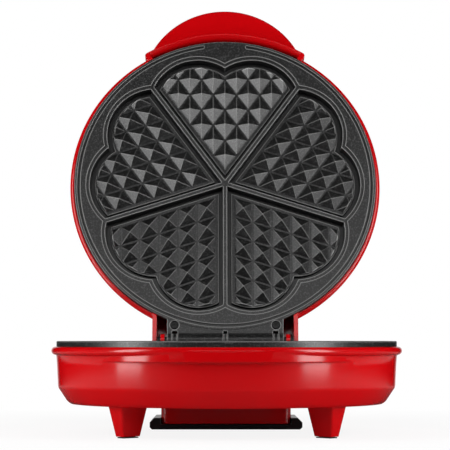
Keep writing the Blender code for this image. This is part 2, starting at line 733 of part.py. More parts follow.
def foot(side):
    """Tapered front foot with its length along the radius."""
    top = rounded_rectangle(FOOT_TOP_DEPTH, FOOT_TOP_WIDTH, FOOT_CORNER)
    end = rounded_rectangle(FOOT_END_DEPTH, FOOT_END_WIDTH, FOOT_CORNER)
    low = -PLATE_PLANE_HEIGHT + FOOT_PAD_THICKNESS + SEAT_GAP
    return moved(lofted(end, top, low, -BASE_DEPTH + SUNK), foot_place(side))


def foot_place(side):
    turn = math.atan2(FOOT_CENTRE_Y, side * FOOT_CENTRE_X)
    return Matrix.Translation((side * FOOT_CENTRE_X, FOOT_CENTRE_Y, 0.0)) @ Matrix.Rotation(turn, 4, "Z")


def lower_housing(parent):
    """Moulded tub with its feet, cord-wrap block, rear box and hinge ears."""
    shell = solid(turned(outer_profile(BASE_DEPTH, BASE_WALL_DROP, BASE_CHAMFER_RADIUS)))
    add(shell, front_band())
    half = REAR_BOX_WIDTH / 2
    back = HINGE_REACH + REAR_BOX_BACK
    add(shell, box(
        (-half, PLATE_BODY_RADIUS - REAR_BOX_BOTTOM_DROP, -REAR_BOX_BOTTOM_DROP),
        (half, back, -REAR_BOX_TOP_DROP), BOX_CORNER,
        lambda middle, size: middle.y > size.y / 4 and middle.z < size.z / 4,
    ))
    for side in (-1, 1):
        add(shell, foot(side))
    block_half = BLOCK_WIDTH / 2
    add(shell, box(
        (-block_half, BLOCK_FRONT_Y, -BLOCK_END), (block_half, BLOCK_BACK_Y, -BASE_DEPTH + SUNK),
        BLOCK_CORNER, upright_edges,
    ))
    cut(shell, turned(inner_profile(BASE_DEPTH, BASE_WALL_DROP, BASE_CHAMFER_RADIUS)))
    wall = WALL_THICKNESS
    cut(shell, box(
        (-half + wall, PLATE_BODY_RADIUS - REAR_BOX_BOTTOM_DROP, -REAR_BOX_BOTTOM_DROP + wall),
        (half - wall, back - wall, -REAR_BOX_TOP_DROP - wall),
    ))
    cut(shell, box(
        (-block_half + wall, BLOCK_FRONT_Y + wall, -BLOCK_END + wall),
        (block_half - wall, BLOCK_BACK_Y - wall, -BASE_DEPTH + wall + SUNK),
    ))
    for angle in BOSS_ANGLES:
        centre = (BOSS_RING_RADIUS * math.cos(angle), BOSS_RING_RADIUS * math.sin(angle))
        add(shell, extruded(circle(centre, BOSS_RADIUS), -BASE_DEPTH + SUNK, -PAN_END - SEAT_GAP))
        recess = circle(centre, HEAD_RECESS_RADIUS)
        cut(shell, extruded(recess, -BASE_DEPTH - SUNK, -BASE_DEPTH + HEAD_RECESS_DEPTH))
        cut(shell, extruded(circle(centre, SHANK_RADIUS + SHANK_CLEARANCE), -BASE_DEPTH - SUNK, OVERRUN))
    for side in (-1, 1):
        centre = (side * CAP_SCREW_SPACING / 2, BLOCK_FRONT_Y + BLOCK_LENGTH / 2)
        boss = circle(centre, PLATE_BOSS_RADIUS)
        add(shell, extruded(boss, -BLOCK_END + SUNK, CAP_SCREW_TIP + SEAT_GAP + wall))
        cut(shell, extruded(circle(centre, SMALL_SHANK_RADIUS + SHANK_CLEARANCE),
                            -BLOCK_END - SUNK, CAP_SCREW_TIP + SEAT_GAP))
        ear = arc((HINGE_REACH, HINGE_RISE), EAR_RADIUS, 0.0, math.pi, SMALL_STEPS // 2)
        ear += [(HINGE_REACH - EAR_RADIUS - SUNK, -REAR_BOX_TOP_DROP - SUNK),
                (HINGE_REACH + EAR_RADIUS + SUNK, -REAR_BOX_TOP_DROP - SUNK)]
        inner, outer = sorted((side * EAR_INNER_X, side * (EAR_INNER_X + EAR_THICKNESS)))
        add(shell, side_profile(ear, inner, outer))
    bore = PIN_RADIUS + SEAT_GAP
    bores = extruded(circle((0, 0), bore), -PLATE_RADIUS, PLATE_RADIUS)
    cut(shell, along_x(bores, 0, HINGE_REACH, HINGE_RISE))
    hole = extruded(circle((0, 0), GROMMET_RADIUS + SEAT_GAP), -OVERRUN, OVERRUN)
    cut(shell, along_y(hole, 0.0, back, GROMMET_Z))
    merge_flat_faces(shell)
    install(shell, "lower_housing", parent, (RED, 0.16, 0.0))


def sector(inner, outer, half_angle, low, high):
    """Part of a ring round the plate's axis, centred on the front."""
    front = -math.pi / 2
    outline = arc((0, 0), outer, front - half_angle, front + half_angle, SMALL_STEPS)
    outline += arc((0, 0), inner, front + half_angle, front - half_angle, SMALL_STEPS)
    return extruded(outline, low, high)


def upper_housing(parent):
    """Moulded lid with its handle, its rear skirt and the bosses for the plate's tab."""
    shell = solid(turned(outer_profile(LID_DEPTH, LID_WALL_DROP, LID_CHAMFER_RADIUS)))
    half = SKIRT_WIDTH / 2
    back = HINGE_REACH + SKIRT_BACK
    start = PLATE_BODY_RADIUS - SKIRT_ROOF_DROP
    add(shell, box(
        (-half, start, -SKIRT_ROOF_DROP), (half, back, -SKIRT_EDGE_DROP), SKIRT_CORNER,
        lambda middle, size: middle.y > size.y / 4 and middle.z < size.z / 4
        or middle.z < -size.z / 4 and abs(middle.x) > size.x / 4,
    ))
    handle = circle((0.0, -HANDLE_ARC_CENTRE), HANDLE_ARC_RADIUS, ROUND_STEPS)
    grip = extruded(handle, -HANDLE_DROP - HANDLE_THICKNESS, -HANDLE_DROP)
    rims = [edge for edge in grip.edges if abs(edge.verts[0].co.z - edge.verts[1].co.z) < WELD_DISTANCE]
    bmesh.ops.bevel(grip, geom=rims, offset=HANDLE_EDGE, segments=2, profile=0.5, affect="EDGES")
    add(shell, grip)
    lip_angle = HANDLE_LIP_ANGLE
    add(shell, sector(WALL_TOP_RADIUS - WALL_THICKNESS, HANDLE_LIP_RADIUS, lip_angle, -HANDLE_LIP_DEPTH, 0.0))
    cut(shell, turned(inner_profile(LID_DEPTH, LID_WALL_DROP, LID_CHAMFER_RADIUS)))
    cut(shell, sector(LEDGE_RADIUS - SUNK, HANDLE_LIP_RADIUS - HANDLE_LIP_THICKNESS,
                      lip_angle - HANDLE_END_ANGLE, -HANDLE_RECESS_DEPTH, OVERRUN))
    inside = half - ARM_THICKNESS
    wall = WALL_THICKNESS
    cut(shell, box((-inside, start - OVERRUN, -SKIRT_ROOF_DROP + wall), (inside, back - wall, OVERRUN)))
    cut(shell, box((-inside, HINGE_REACH, -SKIRT_SILL), (inside, back + OVERRUN, OVERRUN)))
    for side in (-1, 1):
        centre = (side * TAB_SCREW_X, HINGE_REACH - TAB_SCREW_OFFSET)
        boss = circle(centre, TAB_BOSS_RADIUS)
        add(shell, extruded(boss, -SKIRT_ROOF_DROP + SUNK, -REAR_EDGE_DROP - SEAT_GAP))
        cut(shell, extruded(circle(centre, SMALL_SHANK_RADIUS + SHANK_CLEARANCE),
                            -SMALL_RECESS_DEPTH - SMALL_SCREW_LENGTH - SUNK, OVERRUN))
        cut(shell, extruded(circle((side * LAMP_SPACING / 2, LAMP_Y), LENS_RADIUS + SEAT_GAP),
                            -LID_DEPTH - OVERRUN, -LID_DEPTH + OVERRUN))
    merge_flat_faces(shell)
    install(shell, "upper_housing", parent, (RED, 0.16, 0.0))


# Heating pieces, alike behind both plates

def element_legs():
    """Places of the element's two legs in the plate frame."""
    reach = math.pi / 2 - ELEMENT_OPENING
    end = Vector((math.cos(reach), math.sin(reach), 0.0)) * ELEMENT_RING_RADIUS
    tangent = Vector((-math.sin(reach), math.cos(reach), 0.0))
    leg = end + tangent * ELEMENT_BEND
    return [Vector((leg.x, leg.y, -ELEMENT_LEG_END)), Vector((-leg.x, leg.y, -ELEMENT_LEG_END))]


def heating_element(name, parent):
    """Tubular ring, open at the rear, whose two ends bend away from the plate."""
    height = -PLATE_THICKNESS - SEAT_GAP - ELEMENT_TUBE_RADIUS
    first = math.pi / 2 + ELEMENT_OPENING
    last = first + 2 * math.pi - 2 * ELEMENT_OPENING
    steps = ROUND_STEPS * 2 // 3
    ring = [Vector((x, y, height)) for x, y in arc((0, 0), ELEMENT_RING_RADIUS, first, last, steps)]
    tangent = Vector((math.sin(first), -math.cos(first), 0.0))
    bend = []
    for step in range(1, CORNER_STEPS + 1):
        angle = step / CORNER_STEPS * math.pi / 2
        fall = Vector((0, 0, math.cos(angle) - 1))
        bend.append(ring[0] + ELEMENT_BEND * (math.sin(angle) * tangent + fall))
    bend.append(Vector((bend[-1].x, bend[-1].y, -ELEMENT_LEG_END)))
    mirrored = [Vector((-place.x, place.y, place.z)) for place in bend]
    install(tube(bend[::-1] + ring + mirrored, ELEMENT_TUBE_RADIUS), name, parent, (STEEL, 0.40, 1.0))


def element_clamps(prefix, parent):
    """Three straps over the element, with their feet on the back of the plate."""
    inner = ELEMENT_TUBE_RADIUS + CLAMP_CLEARANCE
    outer = inner + CLAMP_SHEET
    top = -SEAT_GAP
    middle = top - ELEMENT_TUBE_RADIUS
    outline = [(outer + CLAMP_FOOT, top), (outer + CLAMP_FOOT, top - CLAMP_SHEET), (outer, top - CLAMP_SHEET)]
    outline += arc((0, middle), outer, 0.0, -math.pi, 2 * CORNER_STEPS)
    outline += [(-outer, top - CLAMP_SHEET), (-outer - CLAMP_FOOT, top - CLAMP_SHEET)]
    outline.append((-outer - CLAMP_FOOT, top))
    outline += [(-inner, top)] + arc((0, middle), inner, -math.pi, 0.0, 2 * CORNER_STEPS) + [(inner, top)]
    upright = Matrix.Rotation(math.pi / 2, 4, "X")
    for number in range(3):
        angle = math.radians(60.0) + number * CLAMP_ANGLE
        strap = solid(moved(extruded(outline, -CLAMP_WIDTH / 2, CLAMP_WIDTH / 2), upright))
        x, y = ELEMENT_RING_RADIUS * math.cos(angle), ELEMENT_RING_RADIUS * math.sin(angle)
        place = (x, y, -PLATE_THICKNESS)
        install(strap, f"{prefix}_element_clamp_{number + 1}", parent, (STEEL, 0.35, 1.0), place, angle)


def reflector_pan(name, parent):
    """Shallow sheet dish behind the plate, held between its bosses and the screws."""
    top = -PLATE_THICKNESS - SEAT_GAP
    rim = PAN_RADIUS - PAN_RIM
    pan = solid(turned([
        (0.0, top - PAN_DEPTH),
        (rim - PAN_SLOPE, top - PAN_DEPTH),
        (rim, top),
        (PAN_RADIUS, top),
        (PAN_RADIUS, top - PAN_SHEET),
        (rim + PAN_SHEET, top - PAN_SHEET),
        (rim - PAN_SLOPE + PAN_SHEET, top - PAN_DEPTH - PAN_SHEET),
        (0.0, top - PAN_DEPTH - PAN_SHEET),
    ], ROUND_STEPS * 2 // 3))
    cut(pan, extruded(circle((0, 0), PAN_MIDDLE_HOLE), -LID_DEPTH, 0.0))
    for angle in BOSS_ANGLES:
        centre = (BOSS_RING_RADIUS * math.cos(angle), BOSS_RING_RADIUS * math.sin(angle))
        cut(pan, extruded(circle(centre, SHANK_RADIUS + SHANK_CLEARANCE, SMALL_STEPS // 2), -LID_DEPTH, 0.0))
    leg = element_legs()[0]
    cut(pan, box((-leg.x - PAN_LEG_HOLE, leg.y - PAN_LEG_HOLE, -LID_DEPTH),
                 (leg.x + PAN_LEG_HOLE, leg.y + PAN_LEG_HOLE, 0.0)))
    merge_flat_faces(pan)
    install(pan, name, parent, (ALUMINIUM, 0.35, 1.0))


def heat_sensors(parent):
    """Disc thermostat and thermal fuse on the back of the lower plate."""
    face = -PLATE_THICKNESS - SEAT_GAP
    thermostat = solid(turned([
        (0.0, 0.0),
        (THERMOSTAT_RADIUS, 0.0),
        (THERMOSTAT_RADIUS, -THERMOSTAT_HEIGHT),
        (THERMOSTAT_STEM_RADIUS, -THERMOSTAT_HEIGHT),
        (THERMOSTAT_STEM_RADIUS, -THERMOSTAT_HEIGHT - THERMOSTAT_STEM),
        (0.0, -THERMOSTAT_HEIGHT - THERMOSTAT_STEM),
    ], SMALL_STEPS))
    install(thermostat, "thermostat", parent, (BLACK, 0.50, 0.0), (0.0, 0.0, face))
    fuse = solid(along_y(extruded(circle((0, 0), FUSE_RADIUS), -FUSE_LENGTH / 2, FUSE_LENGTH / 2)))
    install(fuse, "thermal_fuse", parent, (STEEL, 0.35, 1.0), (FUSE_OFFSET, 0.0, face - FUSE_RADIUS))


# Fasteners and small pieces

def screw(head_radius, head_thickness, shank_radius, length):
    """Cross-head screw with its bearing face at the origin and its shank towards +Z."""
    body = solid(turned([
        (0.0, length),
        (shank_radius, length - shank_radius / 2),
        (shank_radius, 0.0),
        (head_radius, 0.0),
        (head_radius - head_thickness / 4, -head_thickness),
        (0.0, -head_thickness),
    ], SMALL_STEPS))
    reach = head_radius * CROSS_REACH_SHARE
    half = CROSS_WIDTH / 2
    cross = [(half, -half), (reach, -half), (reach, half), (half, half), (half, reach), (-half, reach)]
    cross += [(-x, -y) for x, y in cross]
    cut(body, extruded(cross, -head_thickness - SUNK, -head_thickness + CROSS_DEPTH))
    merge_flat_faces(body)
    return body


def plate_screws(prefix, parent, bearing, length):
    """Three screws into the bosses behind a plate."""
    for number, angle in enumerate(BOSS_ANGLES):
        place = (BOSS_RING_RADIUS * math.cos(angle), BOSS_RING_RADIUS * math.sin(angle), bearing)
        body = screw(HEAD_RADIUS, HEAD_THICKNESS, SHANK_RADIUS, length)
        install(body, f"{prefix}_screw_{number + 1}", parent, (STEEL, 0.30, 1.0), place)


def tab_screws(parent):
    """Two cross-head screws that hold the upper plate's tab to the lid."""
    flip = Matrix.Rotation(math.pi, 4, "X")
    for side, word in ((1, "left"), (-1, "right")):
        body = screw(SMALL_HEAD_RADIUS, SMALL_HEAD_THICKNESS, SMALL_SHANK_RADIUS, SMALL_SCREW_LENGTH)
        body.data.transform(flip)
        place = (side * TAB_SCREW_X, HINGE_REACH - TAB_SCREW_OFFSET, -SMALL_RECESS_DEPTH + SEAT_GAP)
        install(body, f"tab_screw_{word}", parent, (STEEL, 0.30, 1.0), place)


def hinge_pin(parent):
    """Steel pin through the ears, the lugs and the barrel, with a clip outside each ear."""
    clip_start = EAR_INNER_X + EAR_THICKNESS + SEAT_GAP
    reach = clip_start + PIN_OVERHANG
    axis = (0.0, HINGE_REACH, HINGE_RISE)
    pin = solid(along_x(extruded(circle((0, 0), PIN_RADIUS), -reach, reach)))
    install(pin, "hinge_pin", parent, (STEEL, 0.25, 1.0), axis)
    bore = PIN_RADIUS + SEAT_GAP
    for side, word in ((-1, "left"), (1, "right")):
        ring = turned([
            (bore, CLIP_THICKNESS / 2), (CLIP_RADIUS, CLIP_THICKNESS / 2),
            (CLIP_RADIUS, -CLIP_THICKNESS / 2), (bore, -CLIP_THICKNESS / 2),
        ], SMALL_STEPS)
        clip = solid(along_x(ring))
        place = (side * (clip_start + CLIP_THICKNESS / 2), HINGE_REACH, HINGE_RISE)
        install(clip, f"hinge_clip_{word}", parent, (STEEL, 0.35, 1.0), place)


def cord_wrap_cap(parent):
    """Black tray under the block with raised ends that keep the cord's turns on it."""
    half = CAP_WIDTH / 2
    floor = -PLATE_PLANE_HEIGHT
    inner = BLOCK_WIDTH / 2 + SEAT_GAP
    low, ear = floor + CAP_CHAMFER / 2, floor + CAP_EAR_HEIGHT
    level = floor + CAP_FLOOR
    right = [(half - CAP_CHAMFER / 2, floor), (half, low), (half, ear - CAP_CHAMFER)]
    right += [(half - CAP_CHAMFER, ear), (inner, ear), (inner, level)]
    outline = right + [(-x, z) for x, z in reversed(right)]
    front = BLOCK_FRONT_Y - CAP_MARGIN
    back = BLOCK_BACK_Y + CAP_MARGIN
    upright = Matrix(((1, 0, 0, 0), (0, 0, 1, 0), (0, 1, 0, 0), (0, 0, 0, 1)))
    cap = solid(moved(extruded(outline, front, back), upright))
    for side, word in ((-1, "left"), (1, "right")):
        centre = (side * CAP_SCREW_SPACING / 2, BLOCK_FRONT_Y + BLOCK_LENGTH / 2)
        cut(cap, extruded(circle(centre, SMALL_RECESS_RADIUS), floor - SUNK, floor + SMALL_RECESS_DEPTH))
        cut(cap, extruded(circle(centre, SMALL_SHANK_RADIUS + SHANK_CLEARANCE), floor - SUNK, 0.0))
        body = screw(SMALL_HEAD_RADIUS, SMALL_HEAD_THICKNESS, SMALL_SHANK_RADIUS, CAP_SCREW_LENGTH)
        place = (*centre, floor + SMALL_RECESS_DEPTH - SEAT_GAP)
        install(body, f"cord_wrap_screw_{word}", parent, (STEEL, 0.30, 1.0), place)
    install(cap, "cord_wrap_cap", parent, (BLACK, 0.35, 0.0))


def foot_pads(parent):
    for side, word in ((-1, "left"), (1, "right")):
        outline = rounded_rectangle(
            FOOT_END_DEPTH - FOOT_PAD_INSET, FOOT_END_WIDTH - FOOT_PAD_INSET, FOOT_CORNER - FOOT_PAD_INSET / 2
        )
        pad = solid(moved(extruded(outline, 0.0, FOOT_PAD_THICKNESS), Matrix.Rotation(
            math.atan2(FOOT_CENTRE_Y, side * FOOT_CENTRE_X), 4, "Z")))
        place = (side * FOOT_CENTRE_X, FOOT_CENTRE_Y, -PLATE_PLANE_HEIGHT)
        install(pad, f"front_foot_pad_{word}", parent, (BLACK, 0.70, 0.0), place)


def cord_grommet(parent):
    """Rubber gland in the rear box's wall, with a flange on each side of the wall."""
    inner_face = -WALL_THICKNESS - SEAT_GAP
    outer_face = SEAT_GAP
    ring = turned([
        (GROMMET_BORE_RADIUS, outer_face + GROMMET_FLANGE),
        (GROMMET_FLANGE_RADIUS, outer_face + GROMMET_FLANGE),
        (GROMMET_FLANGE_RADIUS, outer_face),
        (GROMMET_RADIUS, outer_face),
        (GROMMET_RADIUS, inner_face),
        (GROMMET_FLANGE_RADIUS, inner_face),
        (GROMMET_FLANGE_RADIUS, inner_face - GROMMET_FLANGE),
        (GROMMET_BORE_RADIUS, inner_face - GROMMET_FLANGE),
    ], SMALL_STEPS)
    place = (0.0, HINGE_REACH + REAR_BOX_BACK, GROMMET_Z)
    install(solid(along_y(ring)), "cord_grommet", parent, (BLACK, 0.65, 0.0), place)


def base_wiring(parent):
    """Terminal block in the cord-wrap block, and the leads that end at it."""
    floor = -BLOCK_END + WALL_THICKNESS + SEAT_GAP
    half = TERMINAL_WIDTH / 2
    block = solid(box(
        (-half, -TERMINAL_DEPTH / 2, 0.0), (half, TERMINAL_DEPTH / 2, TERMINAL_HEIGHT),
        WALL_THICKNESS / 2, upright_edges,
    ))
    install(block, "terminal_block", parent, ((0.75, 0.72, 0.65), 0.60, 0.0), (0.0, TERMINAL_Y, floor))
    rear = TERMINAL_Y + TERMINAL_DEPTH / 2 + SEAT_GAP
    gland = HINGE_REACH + REAR_BOX_BACK - WALL_THICKNESS - GROMMET_FLANGE - 2 * SEAT_GAP
    over = -REAR_BOX_BOTTOM_DROP + WALL_THICKNESS + 2 * WIRE_RADIUS
    edge_y = BLOCK_BACK_Y - WALL_THICKNESS
    wire_x = WIRE_SPACING / 2
    for side, word in ((-1, "live"), (1, "neutral")):
        route = [
            (side * (WIRE_RADIUS + SEAT_GAP), gland, GROMMET_Z),
            (side * (WIRE_RADIUS + SEAT_GAP), gland - 3 * WIRE_RADIUS, GROMMET_Z),
            (side * wire_x / 2, WALL_END_RADIUS, over),
            (side * wire_x, edge_y + WIRE_RADIUS, over + WIRE_RADIUS),
            (side * wire_x, (edge_y + rear) / 2, -BASE_DEPTH + WALL_THICKNESS),
            (side * wire_x, rear + 3 * WIRE_RADIUS, floor + TERMINAL_HEIGHT / 2 + 2 * WIRE_RADIUS),
            (side * wire_x, rear + WIRE_RADIUS, floor + TERMINAL_HEIGHT / 2),
            (side * wire_x, rear, floor + TERMINAL_HEIGHT / 2),
        ]
        wire = tube(smooth_route(route, WIRE_STEP), WIRE_RADIUS)
        install(wire, f"mains_lead_{word}", parent, (BLACK, 0.50, 0.0))
    for leg, word in zip(element_legs(), ("right", "left")):
        route = [
            (leg.x, leg.y, leg.z - SEAT_GAP),
            (leg.x, leg.y, leg.z - WIRE_LIFT),
            (leg.x, TERMINAL_Y, floor + TERMINAL_HEIGHT + WIRE_LIFT),
            (leg.x, TERMINAL_Y, floor + TERMINAL_HEIGHT + SEAT_GAP),
        ]
        wire = tube(smooth_route(route, WIRE_STEP), WIRE_RADIUS)
        install(wire, f"element_lead_{word}", parent, ((0.85, 0.85, 0.82), 0.55, 0.0))


def lid_wiring(parent):
    """Leads that come from the hinge, pass behind the plate and end at the upper element's legs."""
    under_tab = -REAR_EDGE_DROP - SEAT_GAP - WIRE_RADIUS
    clear_y = PLATE_BODY_RADIUS + 2 * WIRE_RADIUS
    for leg, word in zip(element_legs(), ("left", "right")):
        side = math.copysign(1.0, leg.x)
        outer_x = abs(leg.x) + WIRE_SPACING
        route = [
            (side * outer_x, HINGE_REACH - LUG_EYE_RADIUS, under_tab),
            (side * outer_x, clear_y + WIRE_RADIUS, under_tab),
            (side * outer_x, clear_y, -PLATE_THICKNESS),
            (side * outer_x, clear_y, -PAN_END),
            (side * (outer_x - WIRE_RADIUS), PAN_RADIUS - PAN_RIM, -PAN_END - 3 * WIRE_RADIUS),
            (leg.x, (leg.y + PAN_RADIUS) / 2, -ELEMENT_LEG_END - 2 * WIRE_RADIUS),
            (leg.x, leg.y, -ELEMENT_LEG_END - 2 * WIRE_RADIUS),
            (leg.x, leg.y, -ELEMENT_LEG_END - SEAT_GAP),
        ]
        wire = tube(smooth_route(route, WIRE_STEP), WIRE_RADIUS)
        install(wire, f"lid_lead_{word}", parent, ((0.85, 0.85, 0.82), 0.55, 0.0))


def lamps(parent):
    """Two lamps behind domed lenses in the lid's top."""
    inside = -LID_DEPTH + WALL_THICKNESS + SEAT_GAP
    for side, word, colour in ((1, "power", (0.60, 0.02, 0.02)), (-1, "ready", (0.03, 0.40, 0.05))):
        place = (side * LAMP_SPACING / 2, LAMP_Y, 0.0)
        lens = solid(turned([
            (0.0, inside + LENS_FLANGE),
            (LENS_FLANGE_RADIUS, inside + LENS_FLANGE),
            (LENS_FLANGE_RADIUS, inside),
            (LENS_RADIUS, inside),
            (LENS_RADIUS, -LID_DEPTH),
            (LENS_RADIUS - LENS_CROWN, -LID_DEPTH - LENS_CROWN),
            (0.0, -LID_DEPTH - LENS_CROWN),
        ], SMALL_STEPS))
        install(lens, f"{word}_lens", parent, (colour, 0.15, 0.0), place)
        low = inside + LENS_FLANGE + SEAT_GAP
        lamp = solid(extruded(circle((0, 0), LAMP_RADIUS, SMALL_STEPS // 2), low, -PAN_END - LAMP_HEADROOM))
        install(lamp, f"{word}_lamp", parent, ((0.90, 0.55, 0.25), 0.20, 0.0), place)


def stand_on_floor(root):
    """Move the whole model so that its outermost points are centred over the origin."""
    bpy.context.view_layer.update()
    points = []
    for obj in bpy.context.scene.objects:
        if obj.type == "MESH":
            points += [obj.matrix_world @ vertex.co for vertex in obj.data.vertices]
    for axis in (0, 1):
        values = [point[axis] for point in points]
        root.location[axis] -= (min(values) + max(values)) / 2
    root.location.z -= min(point.z for point in points)


def build():
    clear_scene()
    root = empty("waffle_maker", None, Matrix())
    base = empty("base_frame", root, Matrix.Translation((0.0, 0.0, PLATE_PLANE_HEIGHT)))
    axis = Matrix.Translation((0.0, HINGE_REACH, HINGE_RISE))
    hinge = empty("lid_hinge", base, axis @ Matrix.Rotation(-OPEN_ANGLE, 4, "X"))
    hung = Matrix.Translation((0.0, -HINGE_REACH, HINGE_RISE)) @ Matrix.Rotation(math.pi, 4, "Y")
    lid = empty("lid_frame", hinge, hung)

    lower_housing(base)
    lower_grid_plate(base)
    reflector_pan("lower_reflector_pan", base)
    heating_element("lower_heating_element", base)
    element_clamps("lower", base)
    heat_sensors(base)
    base_wiring(base)
    cord_grommet(base)
    cord_wrap_cap(base)
    foot_pads(base)
    bearing = -BASE_DEPTH + HEAD_RECESS_DEPTH - SEAT_GAP
    reach = -PLATE_BOSS_END + PLATE_BOSS_DEPTH - SEAT_GAP
    plate_screws("lower_plate", base, bearing, reach - bearing)
    hinge_pin(base)

    upper_housing(lid)
    upper_grid_plate(lid)
    reflector_pan("upper_reflector_pan", lid)
    heating_element("upper_heating_element", lid)
    element_clamps("upper", lid)
    bearing = -PAN_END - SEAT_GAP
    plate_screws("upper_pan", lid, bearing, reach - bearing)
    tab_screws(lid)
    lamps(lid)
    lid_wiring(lid)
    stand_on_floor(root)


build()
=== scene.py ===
"""Looks of the round heart waffle maker, lid open, seen from straight in front."""
import math

import bmesh
import bpy
from mathutils import Matrix, Vector


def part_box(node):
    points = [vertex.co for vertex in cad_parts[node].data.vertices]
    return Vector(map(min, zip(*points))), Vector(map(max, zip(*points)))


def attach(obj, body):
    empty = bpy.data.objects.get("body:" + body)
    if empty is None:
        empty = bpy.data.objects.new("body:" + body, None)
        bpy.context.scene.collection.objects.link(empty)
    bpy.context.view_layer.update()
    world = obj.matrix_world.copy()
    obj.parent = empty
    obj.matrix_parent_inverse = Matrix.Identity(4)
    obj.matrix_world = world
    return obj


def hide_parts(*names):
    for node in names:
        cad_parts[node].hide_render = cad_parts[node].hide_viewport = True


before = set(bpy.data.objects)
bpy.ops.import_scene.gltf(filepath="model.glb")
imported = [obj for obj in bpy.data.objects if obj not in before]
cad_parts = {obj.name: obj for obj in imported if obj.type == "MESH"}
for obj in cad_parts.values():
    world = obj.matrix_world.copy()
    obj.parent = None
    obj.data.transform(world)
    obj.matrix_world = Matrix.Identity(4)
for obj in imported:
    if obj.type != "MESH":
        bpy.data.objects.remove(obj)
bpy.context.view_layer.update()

# Lower housing: one glossy red injection moulding. Its tub has a rolled lip, a raised band and
# two tapered feet in front, and behind them the cord wrap's carrier, the rear box and the ears
# that hold the hinge pin. The plate drops into it and three screws hold it from below.

MM = 0.001
HINGE_Y = 109.0
HINGE_Z = 0.5
pin_low, pin_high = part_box("hinge_pin")
REAR_SHIFT = (pin_low[1] + pin_high[1]) / 2 - HINGE_Y * MM
PLATE_LEVEL = (pin_low[2] + pin_high[2]) / 2 - HINGE_Z * MM
PLAIN = Matrix.Translation((0.0, REAR_SHIFT, PLATE_LEVEL))
HALF_TURN = math.radians(36.0)
SMOOTH_SIDES = 180
INNER_RADIUS = 98.5
SEAT_RADIUS, SEAT_LEVEL = 102.2, -4.3
LIP_TOP = -3.3


def new_effect(name, inputs, outputs):
    """Shader node group with named sockets; each of inputs is (name, kind of socket, value)."""
    group = bpy.data.node_groups.new(name, "ShaderNodeTree")
    for label, kind, value in inputs:
        group.interface.new_socket(label, in_out="INPUT", socket_type=kind).default_value = value
    for label, kind in outputs:
        group.interface.new_socket(label, in_out="OUTPUT", socket_type=kind)
    return group, group.nodes.new("NodeGroupInput"), group.nodes.new("NodeGroupOutput")


def make_grain_effect():
    """Fine cloudy pattern on the piece's own coordinates, stretched along one axis for lines."""
    group, start, end = new_effect(
        "surface_grain",
        (("Scale", "NodeSocketFloat", 400.0), ("Detail", "NodeSocketFloat", 2.0),
         ("Stretch", "NodeSocketVector", (1.0, 1.0, 1.0))),
        (("Grain", "NodeSocketFloat"),),
    )
    place = group.nodes.new("ShaderNodeTexCoord")
    stretch = group.nodes.new("ShaderNodeVectorMath")
    stretch.operation = "MULTIPLY"
    noise = group.nodes.new("ShaderNodeTexNoise")
    group.links.new(place.outputs["Object"], stretch.inputs[0])
    group.links.new(start.outputs["Stretch"], stretch.inputs[1])
    group.links.new(stretch.outputs[0], noise.inputs["Vector"])
    group.links.new(start.outputs["Scale"], noise.inputs["Scale"])
    group.links.new(start.outputs["Detail"], noise.inputs["Detail"])
    group.links.new(noise.outputs["Fac"], end.inputs["Grain"])
    return group


def make_edge_effect():
    """Rounds sharp edges in the light, masks outer edges for wear and a painted edge highlight, and masks
    hollows for painted shade.
    """
    group, start, end = new_effect(
        "edges_and_hollows",
        (("Radius", "NodeSocketFloat", 0.5 * MM), ("Edge Width", "NodeSocketFloat", 0.8 * MM),
         ("Hollow Width", "NodeSocketFloat", 5.0 * MM)),
        (("Normal", "NodeSocketVector"), ("Wear And Highlight", "NodeSocketFloat"), ("Hollow Shade", "NodeSocketFloat")),
    )
    edge = group.nodes.new("ShaderNodeBevel")
    edge.samples = 6
    group.links.new(start.outputs["Radius"], edge.inputs["Radius"])
    group.links.new(edge.outputs[0], end.inputs["Normal"])
    # The first mask marks outer edges for wear and a painted edge highlight, the second marks hollows for
    # painted shade.
    for label, width, inside, stops in (
        ("Wear And Highlight", "Edge Width", True, (0.96, 0.72)),
        ("Hollow Shade", "Hollow Width", False, (0.95, 0.35)),
    ):
        near = group.nodes.new("ShaderNodeAmbientOcclusion")
        near.samples = 8
        near.inside = inside
        near.only_local = True
        mask = group.nodes.new("ShaderNodeMapRange")
        mask.inputs["From Min"].default_value, mask.inputs["From Max"].default_value = stops
        group.links.new(start.outputs[width], near.inputs["Distance"])
        group.links.new(near.outputs["AO"], mask.inputs["Value"])
        group.links.new(mask.outputs["Result"], end.inputs[label])
    return group


GRAIN = make_grain_effect()
EDGE = make_edge_effect()


def new_finish(name):
    """Empty material: its node tree and its shader."""
    look = bpy.data.materials.new(name)
    look.use_nodes = True
    return look, look.node_tree, look.node_tree.nodes["Principled BSDF"]


def place_effect(tree, group, **values):
    """Node that stands for an effect in a material, with this material's own values."""
    node = tree.nodes.new("ShaderNodeGroup")
    node.node_tree = group
    for label, value in values.items():
        node.inputs[label].default_value = value
    return node


def between(tree, factor, low, high, positions=(0.0, 1.0)):
    """Colour that runs from low to high as the factor runs between two positions."""
    ramp = tree.nodes.new("ShaderNodeValToRGB")
    for stop, position, colour in zip(ramp.color_ramp.elements, positions, (low, high)):
        stop.position = position
        stop.color = (*colour, 1.0)
    tree.links.new(factor, ramp.inputs["Fac"])
    return ramp.outputs["Color"]


def roughness_from(tree, shader, factor, low, high):
    """Roughness that follows the factor from low to high."""
    gloss = tree.nodes.new("ShaderNodeMapRange")
    gloss.inputs["To Min"].default_value = low
    gloss.inputs["To Max"].default_value = high
    tree.links.new(factor, gloss.inputs["Value"])
    tree.links.new(gloss.outputs["Result"], shader.inputs["Roughness"])


